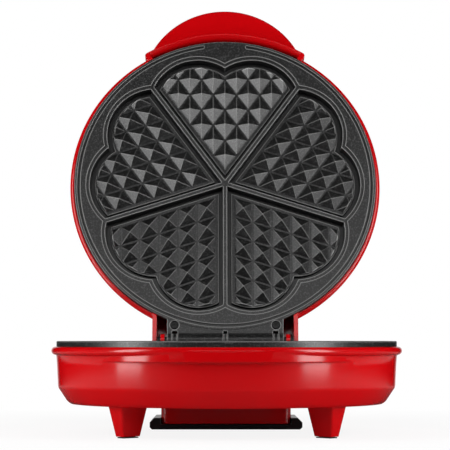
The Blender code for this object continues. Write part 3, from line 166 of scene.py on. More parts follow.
def relief_from(tree, shader, factor, strength, depth, normal):
    """Fine relief, of a depth in mm, on top of the normal that rounds the edges."""
    bump = tree.nodes.new("ShaderNodeBump")
    bump.inputs["Strength"].default_value = strength
    bump.inputs["Distance"].default_value = depth * MM
    tree.links.new(factor, bump.inputs["Height"])
    tree.links.new(normal, bump.inputs["Normal"])
    tree.links.new(bump.outputs[0], shader.inputs["Normal"])


def make_moulded_red():
    """Glossy dyed plastic, slightly cloudy in depth, with the faint unevenness of a moulding."""
    look, tree, shader = new_finish("moulded_red")
    cloud = place_effect(tree, GRAIN, Scale=28.0, Detail=3.0)
    skin = place_effect(tree, GRAIN, Scale=420.0, Detail=2.0)
    edge = place_effect(tree, EDGE, Radius=0.9 * MM)
    tint = between(tree, cloud.outputs["Grain"], (0.510, 0.0010, 0.0026), (0.560, 0.0016, 0.0036))
    tree.links.new(tint, shader.inputs["Base Color"])
    roughness_from(tree, shader, cloud.outputs["Grain"], 0.13, 0.18)
    relief_from(tree, shader, skin.outputs["Grain"], 0.035, 0.2, edge.outputs["Normal"])
    shader.inputs["IOR"].default_value = 1.49
    return look


MOULDED_RED = make_moulded_red()


def pick_only(piece):
    """Select one piece and make it the active one."""
    bpy.ops.object.select_all(action="DESELECT")
    piece.select_set(True)
    bpy.context.view_layer.objects.active = piece


def choose_edges(piece, wanted):
    """In edit mode, select the edges whose two ends pass the test."""
    bpy.ops.mesh.select_mode(type="EDGE")
    bpy.ops.mesh.select_all(action="DESELECT")
    mesh = bmesh.from_edit_mesh(piece.data)
    for edge in mesh.edges:
        if wanted(edge.verts[0].co / MM, edge.verts[1].co / MM):
            edge.select_set(True)
    bmesh.update_edit_mesh(piece.data)


def choose_faces(piece, wanted):
    """In edit mode, select the faces whose centre and normal pass the test."""
    bpy.ops.mesh.select_mode(type="FACE")
    bpy.ops.mesh.select_all(action="DESELECT")
    mesh = bmesh.from_edit_mesh(piece.data)
    for face in mesh.faces:
        if wanted(face.calc_center_median() / MM, face.normal):
            face.select_set(True)
    bmesh.update_edit_mesh(piece.data)


def face_outwards():
    """In edit mode, turn all faces outwards."""
    bpy.ops.mesh.select_all(action="SELECT")
    bpy.ops.mesh.normals_make_consistent(inside=False)


def ring_by_ring(name, rings, sides, corners=()):
    """Round moulding raised from a disc: each (radius, height) in mm is one extrude and scale.

    Each of corners is (radius, height, width): that edge ring is bevelled.
    """
    radius, height = rings[0]
    bpy.ops.object.select_all(action="DESELECT")
    bpy.ops.mesh.primitive_circle_add(vertices=sides, radius=radius * MM, fill_type="NGON")
    piece = bpy.context.active_object
    piece.name = name
    bpy.ops.object.mode_set(mode="EDIT")
    bpy.ops.mesh.select_all(action="SELECT")
    bpy.ops.transform.translate(value=(0.0, 0.0, height * MM))
    for next_radius, next_height in rings[1:]:
        rise = (0.0, 0.0, (next_height - height) * MM)
        bpy.ops.mesh.extrude_region_move(TRANSFORM_OT_translate={"value": rise})
        share = next_radius / radius
        centre = (0.0, 0.0, next_height * MM)
        bpy.ops.transform.resize(value=(share, share, 1.0), center_override=centre)
        radius, height = next_radius, next_height
    near = 0.02
    for corner_radius, corner_height, width in corners:
        def on_ring(*ends):
            return all(
                abs(end.xy.length - corner_radius) < near and abs(end.z - corner_height) < near
                for end in ends
            )
        choose_edges(piece, on_ring)
        bpy.ops.mesh.bevel(offset=width * MM, segments=3, affect="EDGES")
    face_outwards()
    bpy.ops.object.mode_set(mode="OBJECT")
    return piece


def block(name, low, high):
    """Box between two corners in mm."""
    bpy.ops.object.select_all(action="DESELECT")
    middle = [(a + b) / 2 * MM for a, b in zip(low, high)]
    bpy.ops.mesh.primitive_cube_add(size=1.0, location=middle)
    piece = bpy.context.active_object
    piece.name = name
    piece.scale = [(b - a) * MM for a, b in zip(low, high)]
    bpy.ops.object.transform_apply(location=True, rotation=True, scale=True)
    return piece


def rod(name, centre, radius, low, high, sides=48, lie=None):
    """Round bar from low to high along Z, or along X where lie says so, in mm."""
    middle = (low + high) / 2
    shift = (middle, 0.0, 0.0) if lie == "X" else (0.0, 0.0, middle)
    bpy.ops.object.select_all(action="DESELECT")
    bpy.ops.mesh.primitive_cylinder_add(
        vertices=sides, radius=radius * MM, depth=(high - low) * MM,
        rotation=(0.0, math.pi / 2 if lie == "X" else 0.0, 0.0),
        location=[(c + s) * MM for c, s in zip(centre, shift)],
    )
    piece = bpy.context.active_object
    piece.name = name
    bpy.ops.object.transform_apply(location=True, rotation=True, scale=True)
    return piece


def round_edges(piece, width, wanted, segments=4):
    """Bevel the chosen edges by a width in mm."""
    pick_only(piece)
    bpy.ops.object.mode_set(mode="EDIT")
    choose_edges(piece, wanted)
    bpy.ops.mesh.bevel(offset=width * MM, segments=segments, affect="EDGES")
    bpy.ops.object.mode_set(mode="OBJECT")


def fuse(piece, tool, how="UNION"):
    """Join a tool to a piece, or cut it away, and use the tool up."""
    step = piece.modifiers.new("fuse", "BOOLEAN")
    step.operation = how
    step.object = tool
    step.solver = "MANIFOLD"
    pick_only(piece)
    bpy.ops.object.modifier_apply(modifier="fuse")
    bpy.data.objects.remove(tool, do_unlink=True)


def slice_off(piece, planes):
    """Cut a piece along planes, each (point in mm, outward normal), and close the cuts."""
    pick_only(piece)
    bpy.ops.object.mode_set(mode="EDIT")
    for point, outward in planes:
        bpy.ops.mesh.select_all(action="SELECT")
        bpy.ops.mesh.bisect(
            plane_co=[c * MM for c in point], plane_no=outward, use_fill=True, clear_outer=True
        )
    face_outwards()
    bpy.ops.object.mode_set(mode="OBJECT")


def set_down(piece, place, look, angle=30.0):
    """Put a finished piece where it belongs, smooth its round faces and give it its material."""
    touching = 0.002 * MM
    pick_only(piece)
    piece.matrix_world = place
    bpy.ops.object.transform_apply(location=True, rotation=True, scale=True)
    bpy.ops.object.mode_set(mode="EDIT")
    bpy.ops.mesh.select_all(action="SELECT")
    bpy.ops.mesh.remove_doubles(threshold=touching)
    bpy.ops.mesh.dissolve_degenerate(threshold=touching)
    bpy.ops.object.mode_set(mode="OBJECT")
    bpy.ops.object.shade_smooth_by_angle(angle=math.radians(angle))
    piece.data.materials.clear()
    piece.data.materials.append(look)


def stand_for(piece, node, body):
    """Let a piece take the place of a CAD solid and ride on its body."""
    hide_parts(node)
    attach(piece, body)


def on_circle(radius, degrees):
    """Point on a circle round the middle of the plate, on the plate's level."""
    return radius * math.cos(math.radians(degrees)), radius * math.sin(math.radians(degrees)), 0.0


def rolled_lip():
    """Half-round lip of both housings, from under its wall side to the seat of the plate."""
    middle, level, nose = 102.55, -5.75, 2.45
    lip = [(102.3, -8.3)]
    for degrees in range(15, 180, 15):
        turn = math.radians(degrees)
        lip.append((middle + nose * math.sin(turn), level - nose * math.cos(turn)))
    return lip + [(102.5, LIP_TOP), (SEAT_RADIUS, LIP_TOP), (SEAT_RADIUS, SEAT_LEVEL), (99.5, SEAT_LEVEL)]


def is_upright(a, b):
    """Whether an edge between two points runs up the side of a block."""
    return abs(a.z - b.z) > 5


def add_front_band(tub):
    """Raised band in front: a disc set forward, so that the band fades out at both sides."""
    wall_radius, reach, half_angle = 102.0, 105.3, math.radians(42.0)
    low, high = -11.6, -5.5
    forward = (reach ** 2 - wall_radius ** 2) / 2 / (reach - wall_radius * math.cos(half_angle))
    fuse(tub, rod("band", (0.0, -forward, 0.0), reach - forward, low, high, SMOOTH_SIDES))


def add_feet(tub):
    """Two feet over their pads: blocks tapered to their ends and turned outwards."""
    top, end = (20.6, 12.4), (13.0, 7.4)
    low, high = -54.3, -36.0
    pad_low, pad_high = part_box("front_foot_pad_right")
    foot_x = (pad_low[0] + pad_high[0]) / 2 / MM
    foot_y = ((pad_low[1] + pad_high[1]) / 2 - REAR_SHIFT) / MM
    for side in (-1, 1):
        foot = block("foot", (-top[0] / 2, -top[1] / 2, low), (top[0] / 2, top[1] / 2, high))
        pick_only(foot)
        bpy.ops.object.mode_set(mode="EDIT")
        choose_faces(foot, lambda centre, normal: normal.z < -0.9)
        taper = (end[0] / top[0], end[1] / top[1], 1.0)
        bpy.ops.transform.resize(value=taper, center_override=(0.0, 0.0, low * MM))
        bpy.ops.object.mode_set(mode="OBJECT")
        round_edges(foot, 1.2, is_upright)
        turn = Matrix.Rotation(math.atan2(foot_y, side * foot_x), 4, "Z")
        foot.matrix_world = Matrix.Translation((side * foot_x * MM, foot_y * MM, 0.0)) @ turn
        fuse(tub, foot)


def add_cord_carrier(tub):
    """Block under the tub that the cord is wound on, and the box behind it at the hinge."""
    carrier = block("carrier", (-40.5, 40.0, -51.7), (40.5, 88.0, -36.0))
    round_edges(carrier, 4.0, is_upright)
    fuse(tub, carrier)
    rear = block("rear", (-44.4, 90.0, -34.0), (44.4, 115.5, -6.0))
    round_edges(rear, 2.5, lambda a, b: min(a.y, b.y) > 100 and max(a.z, b.z) < -30)
    fuse(tub, rear)


def add_hinge_ears(tub):
    """Two upright ears that hold the ends of the hinge pin."""
    inner, outer, ear_radius = 40.2, 42.8, 4.0
    for side in (-1, 1):
        low, high = sorted((side * inner, side * outer))
        ear = rod("ear", (0.0, HINGE_Y, HINGE_Z), ear_radius, low, high, 40, "X")
        fuse(ear, block("stem", (low, 105.0, -7.0), (high, 113.0, 0.5)))
        fuse(tub, ear)


def make_lower_housing():
    """Tub with its band, feet, cord carrier, rear box and ears, hollowed out for the plate."""
    floor_edge, slope_edge = (95.0, -36.4), (101.0, -26.9)
    wall = [(93.3, -37.2), floor_edge, (100.6, -27.9), slope_edge, (101.6, -14.0), (102.0, -8.9)]
    inside = [(INNER_RADIUS, -27.5), (92.0, -34.7)]
    tub = ring_by_ring(
        "red_lower_housing", wall + rolled_lip() + inside, SMOOTH_SIDES,
        corners=((*floor_edge, 1.6), (*slope_edge, 0.9)),
    )
    add_front_band(tub)
    add_feet(tub)
    add_cord_carrier(tub)
    hollow = [(91.0, -34.7), (97.5, -28.0), (INNER_RADIUS, SEAT_LEVEL)]
    fuse(tub, ring_by_ring("hollow", hollow, 96), "DIFFERENCE")
    fuse(tub, block("hollow", (-41.9, 80.0, -31.5), (41.9, 113.0, -8.5)), "DIFFERENCE")
    add_hinge_ears(tub)
    screw_ring, head_recess = 74.0, 4.6
    for angle in (30.0, 150.0, 270.0):
        recess = rod("recess", on_circle(screw_ring, angle), head_recess, -38.0, -34.0)
        fuse(tub, recess, "DIFFERENCE")
    set_down(tub, PLAIN, MOULDED_RED)
    stand_for(tub, "lower_housing", "base")


make_lower_housing()


# Cooking plates: two aluminium castings under a dark speckled non-stick coat. Five hearts of
# small pyramids stand in hollows, and a drip groove runs near the rim. The lower plate has the
# hinge lugs cast on, and the upper one the barrel and the tab that the two screws go through.

LOBE_X, LOBE_Y = 18.43, 55.71
CELL_SIDE, CELL_COUNT, CELL_START = 13.6, 6, 10.0
VALLEY_HALF = 0.65
VALLEY_LEVEL = -5.5
PYRAMID_HEIGHT = 4.0
SCREW_X, SCREW_Y, SCREW_HOLE = 33.7, 98.6, 1.8
LUGS = ((-33.5, 3.0), (0.0, 2.0), (33.5, 3.0))
OVER = 3.0
LID = (
    PLAIN @ Matrix.Translation((0.0, HINGE_Y * MM, HINGE_Z * MM))
    @ Matrix.Rotation(math.radians(-103.0), 4, "X")
    @ Matrix.Translation((0.0, -HINGE_Y * MM, HINGE_Z * MM)) @ Matrix.Rotation(math.pi, 4, "Y")
)


def make_speckled_coat():
    """Sprayed dark coat with fine pale grains: lighter on outer edges, where it is worn thin and a painted
    edge highlight is added, and darkened in hollows, which is painted shade.
    """
    look, tree, shader = new_finish("speckled_coat")
    grain = place_effect(tree, GRAIN, Scale=900.0, Detail=2.0)
    edge = place_effect(tree, EDGE, Radius=0.4 * MM)
    dark, pale = (0.003, 0.003, 0.003), (0.060, 0.060, 0.060)
    coat = between(tree, grain.outputs["Grain"], dark, pale, (0.50, 0.76))
    # The near-black colour mixed into the hollows is painted shade.
    worn_and_highlit, shaded = (0.280, 0.280, 0.275), (0.001, 0.001, 0.001)
    # The pale colour on outer edges is wear and a painted edge highlight.
    for mask, colour, most in (("Wear And Highlight", worn_and_highlit, 0.75), ("Hollow Shade", shaded, 0.95)):
        share = tree.nodes.new("ShaderNodeMath")
        share.operation = "MULTIPLY"
        share.inputs[1].default_value = most
        layer = tree.nodes.new("ShaderNodeMixRGB")
        layer.inputs[2].default_value = (*colour, 1.0)
        tree.links.new(edge.outputs[mask], share.inputs[0])
        tree.links.new(share.outputs[0], layer.inputs[0])
        tree.links.new(coat, layer.inputs[1])
        coat = layer.outputs[0]
    tree.links.new(coat, shader.inputs["Base Color"])
    roughness_from(tree, shader, grain.outputs["Grain"], 0.30, 0.42)
    relief_from(tree, shader, grain.outputs["Grain"], 0.80, 0.08, edge.outputs["Normal"])
    shader.inputs["IOR"].default_value = 1.68
    return look


SPECKLED_COAT = make_speckled_coat()


def heart(side_gap, lobe, low, high):
    """Heart-shaped block: a slab and two round lobes, cut along the two straight sides.

    The straight sides lie side_gap inside the lines that part one heart from the next.
    """
    body = block("heart", (-60.0, 0.0, low), (60.0, LOBE_Y, high))
    for side in (-1, 1):
        fuse(body, rod("lobe", (side * LOBE_X, LOBE_Y, 0.0), lobe, low, high, 96))
    cuts = []
    for side in (-1, 1):
        outward = (side * math.cos(HALF_TURN), -math.sin(HALF_TURN), 0.0)
        cuts.append(([-c * side_gap for c in outward], outward))
    slice_off(body, cuts)
    return body


def pyramid_grid(bottom):
    """Square grid turned and squeezed into rhombs; each face is inset, and raised to a point."""
    side = CELL_SIDE * CELL_COUNT
    bpy.ops.object.select_all(action="DESELECT")
    bpy.ops.mesh.primitive_grid_add(x_subdivisions=CELL_COUNT, y_subdivisions=CELL_COUNT, size=side * MM)
    grid = bpy.context.active_object
    grid.rotation_euler = (0.0, 0.0, math.radians(45.0))
    bpy.ops.object.transform_apply(location=True, rotation=True, scale=True)
    grid.scale = (math.sqrt(2) * math.sin(HALF_TURN), math.sqrt(2) * math.cos(HALF_TURN), 1.0)
    grid.location = (0.0, (CELL_START + side * math.cos(HALF_TURN)) * MM, VALLEY_LEVEL * MM)
    bpy.ops.object.transform_apply(location=True, rotation=True, scale=True)
    bpy.ops.object.mode_set(mode="EDIT")
    bpy.ops.mesh.select_mode(type="FACE")
    bpy.ops.mesh.select_all(action="SELECT")
    bpy.ops.mesh.inset(thickness=VALLEY_HALF * MM, use_individual=True)
    bpy.ops.mesh.poke(offset=PYRAMID_HEIGHT * MM)
    bpy.ops.mesh.select_mode(type="EDGE")
    bpy.ops.mesh.select_all(action="DESELECT")
    for edge in bmesh.from_edit_mesh(grid.data).edges:
        edge.select_set(edge.is_boundary)
    bmesh.update_edit_mesh(grid.data)
    fall = (0.0, 0.0, (bottom - VALLEY_LEVEL) * MM)
    bpy.ops.mesh.extrude_region_move(TRANSFORM_OT_translate={"value": fall})
    bpy.ops.mesh.edge_face_add()
    face_outwards()
    bpy.ops.object.mode_set(mode="OBJECT")
    return grid


def copy_of(piece, place):
    """Copy of a piece with its own mesh, turned or moved to its place."""
    double = piece.copy()
    double.data = piece.data.copy()
    bpy.context.scene.collection.objects.link(double)
    double.matrix_world = place
    return double


def cut_groove(plate):
    """Drip groove round the plate, left out for a short stretch in front."""
    floor, above, half_gap = -1.2, 2.0, 14.4
    groove = ring_by_ring("groove", [(98.4, floor), (99.8, floor), (100.2, above), (90.0, above)], 200)
    fuse(groove, ring_by_ring("core", [(98.3, -3.0), (97.9, 4.0)], 200), "DIFFERENCE")
    fuse(groove, block("gap", (-half_gap, -110.0, -4.0), (half_gap, -80.0, 4.0)), "DIFFERENCE")
    fuse(plate, groove, "DIFFERENCE")


def make_cooking_face():
    """Plate with its groove and five hearts, before its hinge is added."""
    body_radius, flange_radius, back, flange_back = 95.5, 101.9, -10.0, -4.0
    rim = [(body_radius, back), (body_radius, flange_back), (flange_radius, flange_back)]
    rim += [(flange_radius, -0.5), (101.75, -0.15), (101.4, 0.0), (90.0, 0.0)]
    plate = ring_by_ring("coated_plate", rim, 200)
    cut_groove(plate)
    step_gap, step_lobe, step_level = -0.15, 35.21, -0.8
    channel_gap, channel_lobe, channel_level = 1.4, 32.9, -9.2
    raised_gap, raised_lobe, border = 4.2, 29.5, 1.0
    flower = heart(step_gap, step_lobe, step_level, OVER)
    raised = heart(raised_gap, raised_lobe, -11.0, VALLEY_LEVEL)
    field = pyramid_grid(-8.0)
    field_edge = heart(raised_gap + border, raised_lobe - border, -12.0, OVER)
    fuse(field, field_edge, "INTERSECT")
    fuse(raised, field)
    pocket = heart(channel_gap, channel_lobe, channel_level, OVER)
    fuse(pocket, raised, "DIFFERENCE")
    for tool in (flower, pocket):
        for index in range(5):
            turn = Matrix.Rotation(math.pi + index * 2 * HALF_TURN, 4, "Z")
            fuse(plate, copy_of(tool, turn), "DIFFERENCE")
        bpy.data.objects.remove(tool, do_unlink=True)
    return plate


def bore_for_pin(plate):
    """Hole for the hinge pin, right across."""
    bore_radius = 2.3
    bore = rod("bore", (0.0, HINGE_Y, HINGE_Z), bore_radius, -60.0, 60.0, 32, "X")
    fuse(plate, bore, "DIFFERENCE")


def add_lugs(plate):
    """Three hinge lugs on the lower plate, each a round eye on a bar."""
    eye_radius = 4.2
    for x, width in LUGS:
        left, right = x - width / 2, x + width / 2
        lug = rod("lug", (0.0, HINGE_Y, HINGE_Z), eye_radius, left, right, 40, "X")
        fuse(lug, block("lug_bar", (left, 90.0, -2.8), (right, 108.0, -0.3)))
        fuse(plate, lug)
    bore_for_pin(plate)


def add_tab(plate):
    """Tab of the upper plate, with the barrel at its end, slots for the lugs and screw holes."""
    tab_half, barrel_radius = 38.6, 4.5
    barrel = rod("barrel", (0.0, HINGE_Y, HINGE_Z), barrel_radius, -tab_half, tab_half, 48, "X")
    fuse(barrel, block("tab", (-tab_half, 93.5, -3.7), (tab_half, HINGE_Y, -0.2)))
    fuse(plate, barrel)
    cut_groove(plate)
    bore_for_pin(plate)
    clearance, slot_radius, head_radius = 0.3, 6.5, 3.0
    for x, width in LUGS:
        half = width / 2 + clearance
        slot = rod("slot", (0.0, HINGE_Y, HINGE_Z), slot_radius, x - half, x + half, 40, "X")
        fuse(plate, slot, "DIFFERENCE")
    for side in (-1, 1):
        place = (side * SCREW_X, SCREW_Y, 0.0)
        fuse(plate, rod("recess", place, head_radius, -2.2, 4.0), "DIFFERENCE")
        fuse(plate, rod("hole", place, SCREW_HOLE, -12.0, 4.0), "DIFFERENCE")


def make_plates():
    """Both plates from one cooking face, the upper one turned over and leaning back."""
    lower = make_cooking_face()
    upper = copy_of(lower, Matrix.Identity(4))
    lower.name = "coated_plate_lower"
    upper.name = "coated_plate_upper"
    add_lugs(lower)
    add_tab(upper)
    set_down(lower, PLAIN, SPECKLED_COAT, 20.0)
    stand_for(lower, "lower_grid_plate", "base")
    set_down(upper, LID, SPECKLED_COAT, 20.0)
    stand_for(upper, "upper_grid_plate", "lid")


make_plates()


# Upper housing: the matching glossy red lid. A half-round handle shelf stands out of its front,
# with a rolled lip under it, and a skirt with two arms closes over the hinge at the rear. Two
# round windows in its back hold the lenses of the lamps.

LIP_HALF_ANGLE = 31.0


def cut_wedge(disc, angle):
    """Keep the front sector of a disc, to the given angle at the left and right of its middle."""
    turn = math.radians(angle)
    slice_off(disc, [((0.0, 0.0, 0.0), (side * math.cos(turn), math.sin(turn), 0.0)) for side in (-1, 1)])


def add_handle(shell):
    """Half-round shelf for the fingers, and the lip along its foot with two rounded ends."""
    grip_y, grip_radius = -72.2, 57.4
    grip = rod("grip", (0.0, grip_y, 0.0), grip_radius, -22.0, -11.0, 128)
    round_edges(grip, 2.0, lambda a, b: abs(a.z - b.z) < 0.1)
    fuse(shell, grip)
    lip = rod("lip", (0.0, 0.0, 0.0), 108.2, -14.0, 0.0, 200)
    cut_wedge(lip, LIP_HALF_ANGLE)
    slice_off(lip, [((0.0, -60.0, 0.0), (0.0, 1.0, 0.0))])
    end_x, end_y, end_radius = 52.3, -91.9, 2.5
    for side in (-1, 1):
        for turn in (22.5, 45.0, 67.5):
            lean = math.radians(LIP_HALF_ANGLE + turn)
            away = (side * math.sin(lean), -math.cos(lean), 0.0)
            slice_off(lip, [((side * end_x + end_radius * away[0], end_radius * away[1] + end_y, 0.0), away)])
    round_edges(lip, 0.7, lambda a, b: abs(a.z - b.z) < 0.1 and min(a.xy.length, b.xy.length) > 104, 3)
    fuse(shell, lip)


def cut_lip_gap(shell):
    """Rounded gap between the lip of the handle and the edge of the plate."""
    roll = [(104.0, -12.6), (104.1, -5.0), (104.8, -2.6), (105.9, -1.0), (107.2, 0.0), (107.2, 5.0)]
    gap = ring_by_ring("gap", roll, 200)
    cut_wedge(gap, LIP_HALF_ANGLE - 2.0)
    fuse(gap, rod("core", (0.0, 0.0, 0.0), 101.0, -20.0, 20.0, 200), "DIFFERENCE")
    fuse(shell, gap, "DIFFERENCE")


def make_upper_housing():
    """Shell with its handle and skirt, hollowed out for the plate, in the open position."""
    top_edge, slope_edge = (92.0, -34.4), (101.0, -23.9)
    wall = [(90.3, -35.2), top_edge, (100.6, -24.9), slope_edge, (101.6, -14.0), (102.0, -8.9)]
    inside = [(INNER_RADIUS, -24.5), (89.0, -32.7)]
    shell = ring_by_ring(
        "red_lid", wall + rolled_lip() + inside, SMOOTH_SIDES,
        corners=((*top_edge, 1.6), (*slope_edge, 0.9)),
    )
    add_handle(shell)
    skirt = block("skirt", (-48.45, 70.0, -27.0), (48.45, 122.5, -0.5))

    def is_back_edge(a, b):
        rear = min(a.y, b.y) > 100
        side = abs(a.x) > 40 and a.x * b.x > 0 and abs(b.x) > 40
        return max(a.z, b.z) < -20 and (rear or side)

    round_edges(skirt, 4.0, is_back_edge, 5)
    fuse(shell, skirt)
    hollow = [(88.0, -32.7), (97.6, -24.5), (INNER_RADIUS, SEAT_LEVEL)]
    hollow += [(SEAT_RADIUS, SEAT_LEVEL), (SEAT_RADIUS, 5.0)]
    fuse(shell, ring_by_ring("hollow", hollow, SMOOTH_SIDES), "DIFFERENCE")
    cut_lip_gap(shell)
    skirt_inside = 45.55
    fuse(shell, block("hollow", (-skirt_inside, 60.0, -24.5), (skirt_inside, 120.0, 5.0)), "DIFFERENCE")
    fuse(shell, block("mouth", (-skirt_inside, HINGE_Y, -9.6), (skirt_inside, 130.0, 5.0)), "DIFFERENCE")
    window_x, window_y, window_radius = 9.0, -70.0, 3.9
    for side in (-1, 1):
        screw = (side * SCREW_X, SCREW_Y, 0.0)
        fuse(shell, rod("boss", screw, 2 * SCREW_HOLE, -25.0, SEAT_LEVEL))
        fuse(shell, rod("hole", screw, SCREW_HOLE, -15.0, 5.0), "DIFFERENCE")
        window = rod("window", (side * window_x, window_y, 0.0), window_radius, -40.0, -30.0)
        fuse(shell, window, "DIFFERENCE")
    set_down(shell, LID, MOULDED_RED)
    stand_for(shell, "upper_housing", "lid")


make_upper_housing()


# Steel parts: zinc-plated screws, clips and clamps, drawn or rolled, with fine lines along them.
# The tab screws are dark steel, and the hinge pin and other hinge parts are as dark, painted
# shade at the hinge. The bright pans behind the plates are pressed aluminium sheet, and the
# heating element is a bent steel tube, dulled by heat.


def brushed(name, colour, roughness, stretch):
    """Metal with fine lines drawn along one direction."""
    look, tree, shader = new_finish(name)
    lines = place_effect(tree, GRAIN, Scale=300.0, Detail=3.0, Stretch=stretch)
    shade = between(tree, lines.outputs["Grain"], [c * 0.85 for c in colour], colour)
    tree.links.new(shade, shader.inputs["Base Color"])
    roughness_from(tree, shader, lines.outputs["Grain"], roughness - 0.08, roughness + 0.08)
    shader.inputs["Metallic"].default_value = 1.0
    return look


def dress(wanted, look):
    """Give the CAD solids whose names pass the test their finish."""
    for name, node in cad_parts.items():
        if wanted(name):
            node.data.materials.clear()
            node.data.materials.append(look)


def is_fixing(name):
    """Whether a CAD solid is a screw or another small steel part."""
    return any(word in name for word in ("screw", "clamp", "clip", "hinge_pin", "thermal_fuse"))


dress(is_fixing, brushed("zinc_plated_steel", (0.42, 0.42, 0.43), 0.30, (1.0, 1.0, 6.0)))
# Dark steel for the tab screws; on the hinge parts this dark is painted shade.
DARK_STEEL_AND_HINGE_SHADE = brushed("dark_steel_and_hinge_shade", (0.050, 0.050, 0.050), 0.42, (1.0, 1.0, 1.0))
dress(lambda name: name.startswith(("tab_screw", "hinge_")), DARK_STEEL_AND_HINGE_SHADE)
SHEET = brushed("bright_sheet", (0.78, 0.78, 0.79), 0.33, (8.0, 1.0, 1.0))
dress(lambda name: name.endswith("pan"), SHEET)
SHEATH = brushed("element_sheath", (0.42, 0.40, 0.38), 0.42, (1.0, 1.0, 1.0))
dress(lambda name: name.endswith("element"), SHEATH)


# Plastic, rubber and silicone parts: the black cap under the cord wrap, the foot pads and the
# cord's gland, the terminal block, the thermostat, the sleeved leads, and the two lamps with
# their clear red and green lenses, which snap into the lid.


def moulded(name, colour, roughness, grain=500.0, depth=0.05):
    """Plastic, rubber or silicone with a fine moulded grain."""
    look, tree, shader = new_finish(name)
    skin = place_effect(tree, GRAIN, Scale=grain, Detail=3.0)
    edge = place_effect(tree, EDGE, Radius=0.4 * MM)
    low, high = [c * 0.8 for c in colour], [min(1.0, c * 1.2) for c in colour]
    tree.links.new(between(tree, skin.outputs["Grain"], low, high), shader.inputs["Base Color"])
    roughness_from(tree, shader, skin.outputs["Grain"], roughness - 0.06, roughness + 0.06)
    relief_from(tree, shader, skin.outputs["Grain"], 0.3, depth, edge.outputs["Normal"])
    return look


for wanted, look in (
    ("cord_wrap_cap", moulded("black_cap_plastic", (0.010, 0.010, 0.011), 0.30)),
    ("foot_pad", moulded("black_rubber", (0.015, 0.015, 0.015), 0.70, 900.0, 0.1)),
    ("cord_grommet", moulded("black_gland", (0.015, 0.015, 0.015), 0.60, 900.0, 0.1)),
    ("mains_lead", moulded("black_sleeve", (0.015, 0.015, 0.016), 0.50)),
    ("element_lead", moulded("white_silicone", (0.80, 0.79, 0.76), 0.50)),
    ("lid_lead", moulded("white_sleeve", (0.80, 0.79, 0.76), 0.50)),
    ("terminal_block", moulded("terminal_plastic", (0.70, 0.67, 0.60), 0.55)),
    ("thermostat", moulded("thermostat_body", (0.02, 0.02, 0.02), 0.45)),
    ("power_lens", moulded("red_lens_plastic", (0.55, 0.02, 0.02), 0.12, 200.0, 0.02)),
    ("ready_lens", moulded("green_lens_plastic", (0.02, 0.33, 0.05), 0.12, 200.0, 0.02)),
    ("_lamp", moulded("lamp_glass", (0.80, 0.50, 0.25), 0.12, 200.0, 0.02)),
):
    dress(lambda name: wanted in name, look)


# Studio: a round pale table in a room that looks white but is mirrored only straight behind the
# object. Two upright soft boxes beside the table and a wide lamp over the camera show in the
# gloss; the lamps at the sides and overhead only light. The camera is level with the plate.


STRAIGHT_BEHIND = (0.94, 0.99)


def add_math(tree, operation, first, second):
    """One sum of two values, each a number or a socket."""
    node = tree.nodes.new("ShaderNodeMath")
    node.operation = operation
    for socket, value in zip(node.inputs, (first, second)):
        if isinstance(value, float):
            socket.default_value = value
        else:
            tree.links.new(value, socket)
    return node.outputs[0]


def add_range(tree, value, start, stop, low, high):
    """Value that runs from low to high as the given one runs from start to stop."""
    node = tree.nodes.new("ShaderNodeMapRange")
    for label, number in zip(("From Min", "From Max", "To Min", "To Max"), (start, stop, low, high)):
        node.inputs[label].default_value = number
    tree.links.new(value, node.inputs["Value"])
    return node.outputs["Result"]


def make_table():
    """White to the camera and, behind the object, in reflections; the shadow under it stays. In other
    reflections it is painted darker in the middle than at the sides, a painted shade in what the housing
    mirrors.
    """
    radius, shadow_start, shadow_end, shadow_white = 0.42, 0.16, 0.36, 0.88
    middle_end, side_start, middle_dark, side_dark, paleness = 0.12, 0.32, 0.70, 0.25, 0.75
    bpy.ops.object.select_all(action="DESELECT")
    bpy.ops.mesh.primitive_circle_add(vertices=96, radius=radius, fill_type="NGON")
    table = bpy.context.active_object
    table.name = "table"
    look = bpy.data.materials.new("table_white")
    look.use_nodes = True
    tree = look.node_tree
    shader = tree.nodes["Principled BSDF"]
    shader.inputs["Roughness"].default_value = 0.9
    path = tree.nodes.new("ShaderNodeLightPath")
    place = tree.nodes.new("ShaderNodeTexCoord")
    split = tree.nodes.new("ShaderNodeSeparateXYZ")
    tree.links.new(place.outputs["Object"], split.inputs[0])
    beside = add_math(tree, "ABSOLUTE", split.outputs["X"], 0.0)
    # Painted reflection shade: to glossy rays the table's colour is darker in the middle than at the sides.
    dark = add_range(tree, beside, middle_end, side_start, middle_dark, side_dark)
    painted_reflection_shade = add_math(tree, "MULTIPLY", path.outputs["Is Glossy Ray"], dark)
    bounce = add_math(tree, "SUBTRACT", paleness, painted_reflection_shade)
    pale = add_math(tree, "MAXIMUM", bounce, path.outputs["Is Camera Ray"])
    tree.links.new(pale, shader.inputs["Base Color"])
    away = tree.nodes.new("ShaderNodeVectorMath")
    away.operation = "LENGTH"
    tree.links.new(place.outputs["Object"], away.inputs[0])
    white = add_range(tree, away.outputs["Value"], shadow_start, shadow_end, shadow_white, 1.0)
    seen = add_math(tree, "MAXIMUM", path.outputs["Is Camera Ray"], path.outputs["Is Transmission Ray"])
    straight = add_math(tree, "DIVIDE", split.outputs["Y"], away.outputs["Value"])
    behind = add_range(tree, straight, *STRAIGHT_BEHIND, 0.0, 1.0)
    mirrored = add_math(tree, "MULTIPLY", path.outputs["Is Glossy Ray"], behind)
    share = add_math(tree, "MAXIMUM", add_math(tree, "MULTIPLY", seen, white), mirrored)
    glow = tree.nodes.new("ShaderNodeEmission")
    mix = tree.nodes.new("ShaderNodeMixShader")
    tree.links.new(share, mix.inputs[0])
    tree.links.new(shader.outputs[0], mix.inputs[1])
    tree.links.new(glow.outputs[0], mix.inputs[2])
    tree.links.new(mix.outputs[0], tree.nodes["Material Output"].inputs["Surface"])
    table.data.materials.append(look)


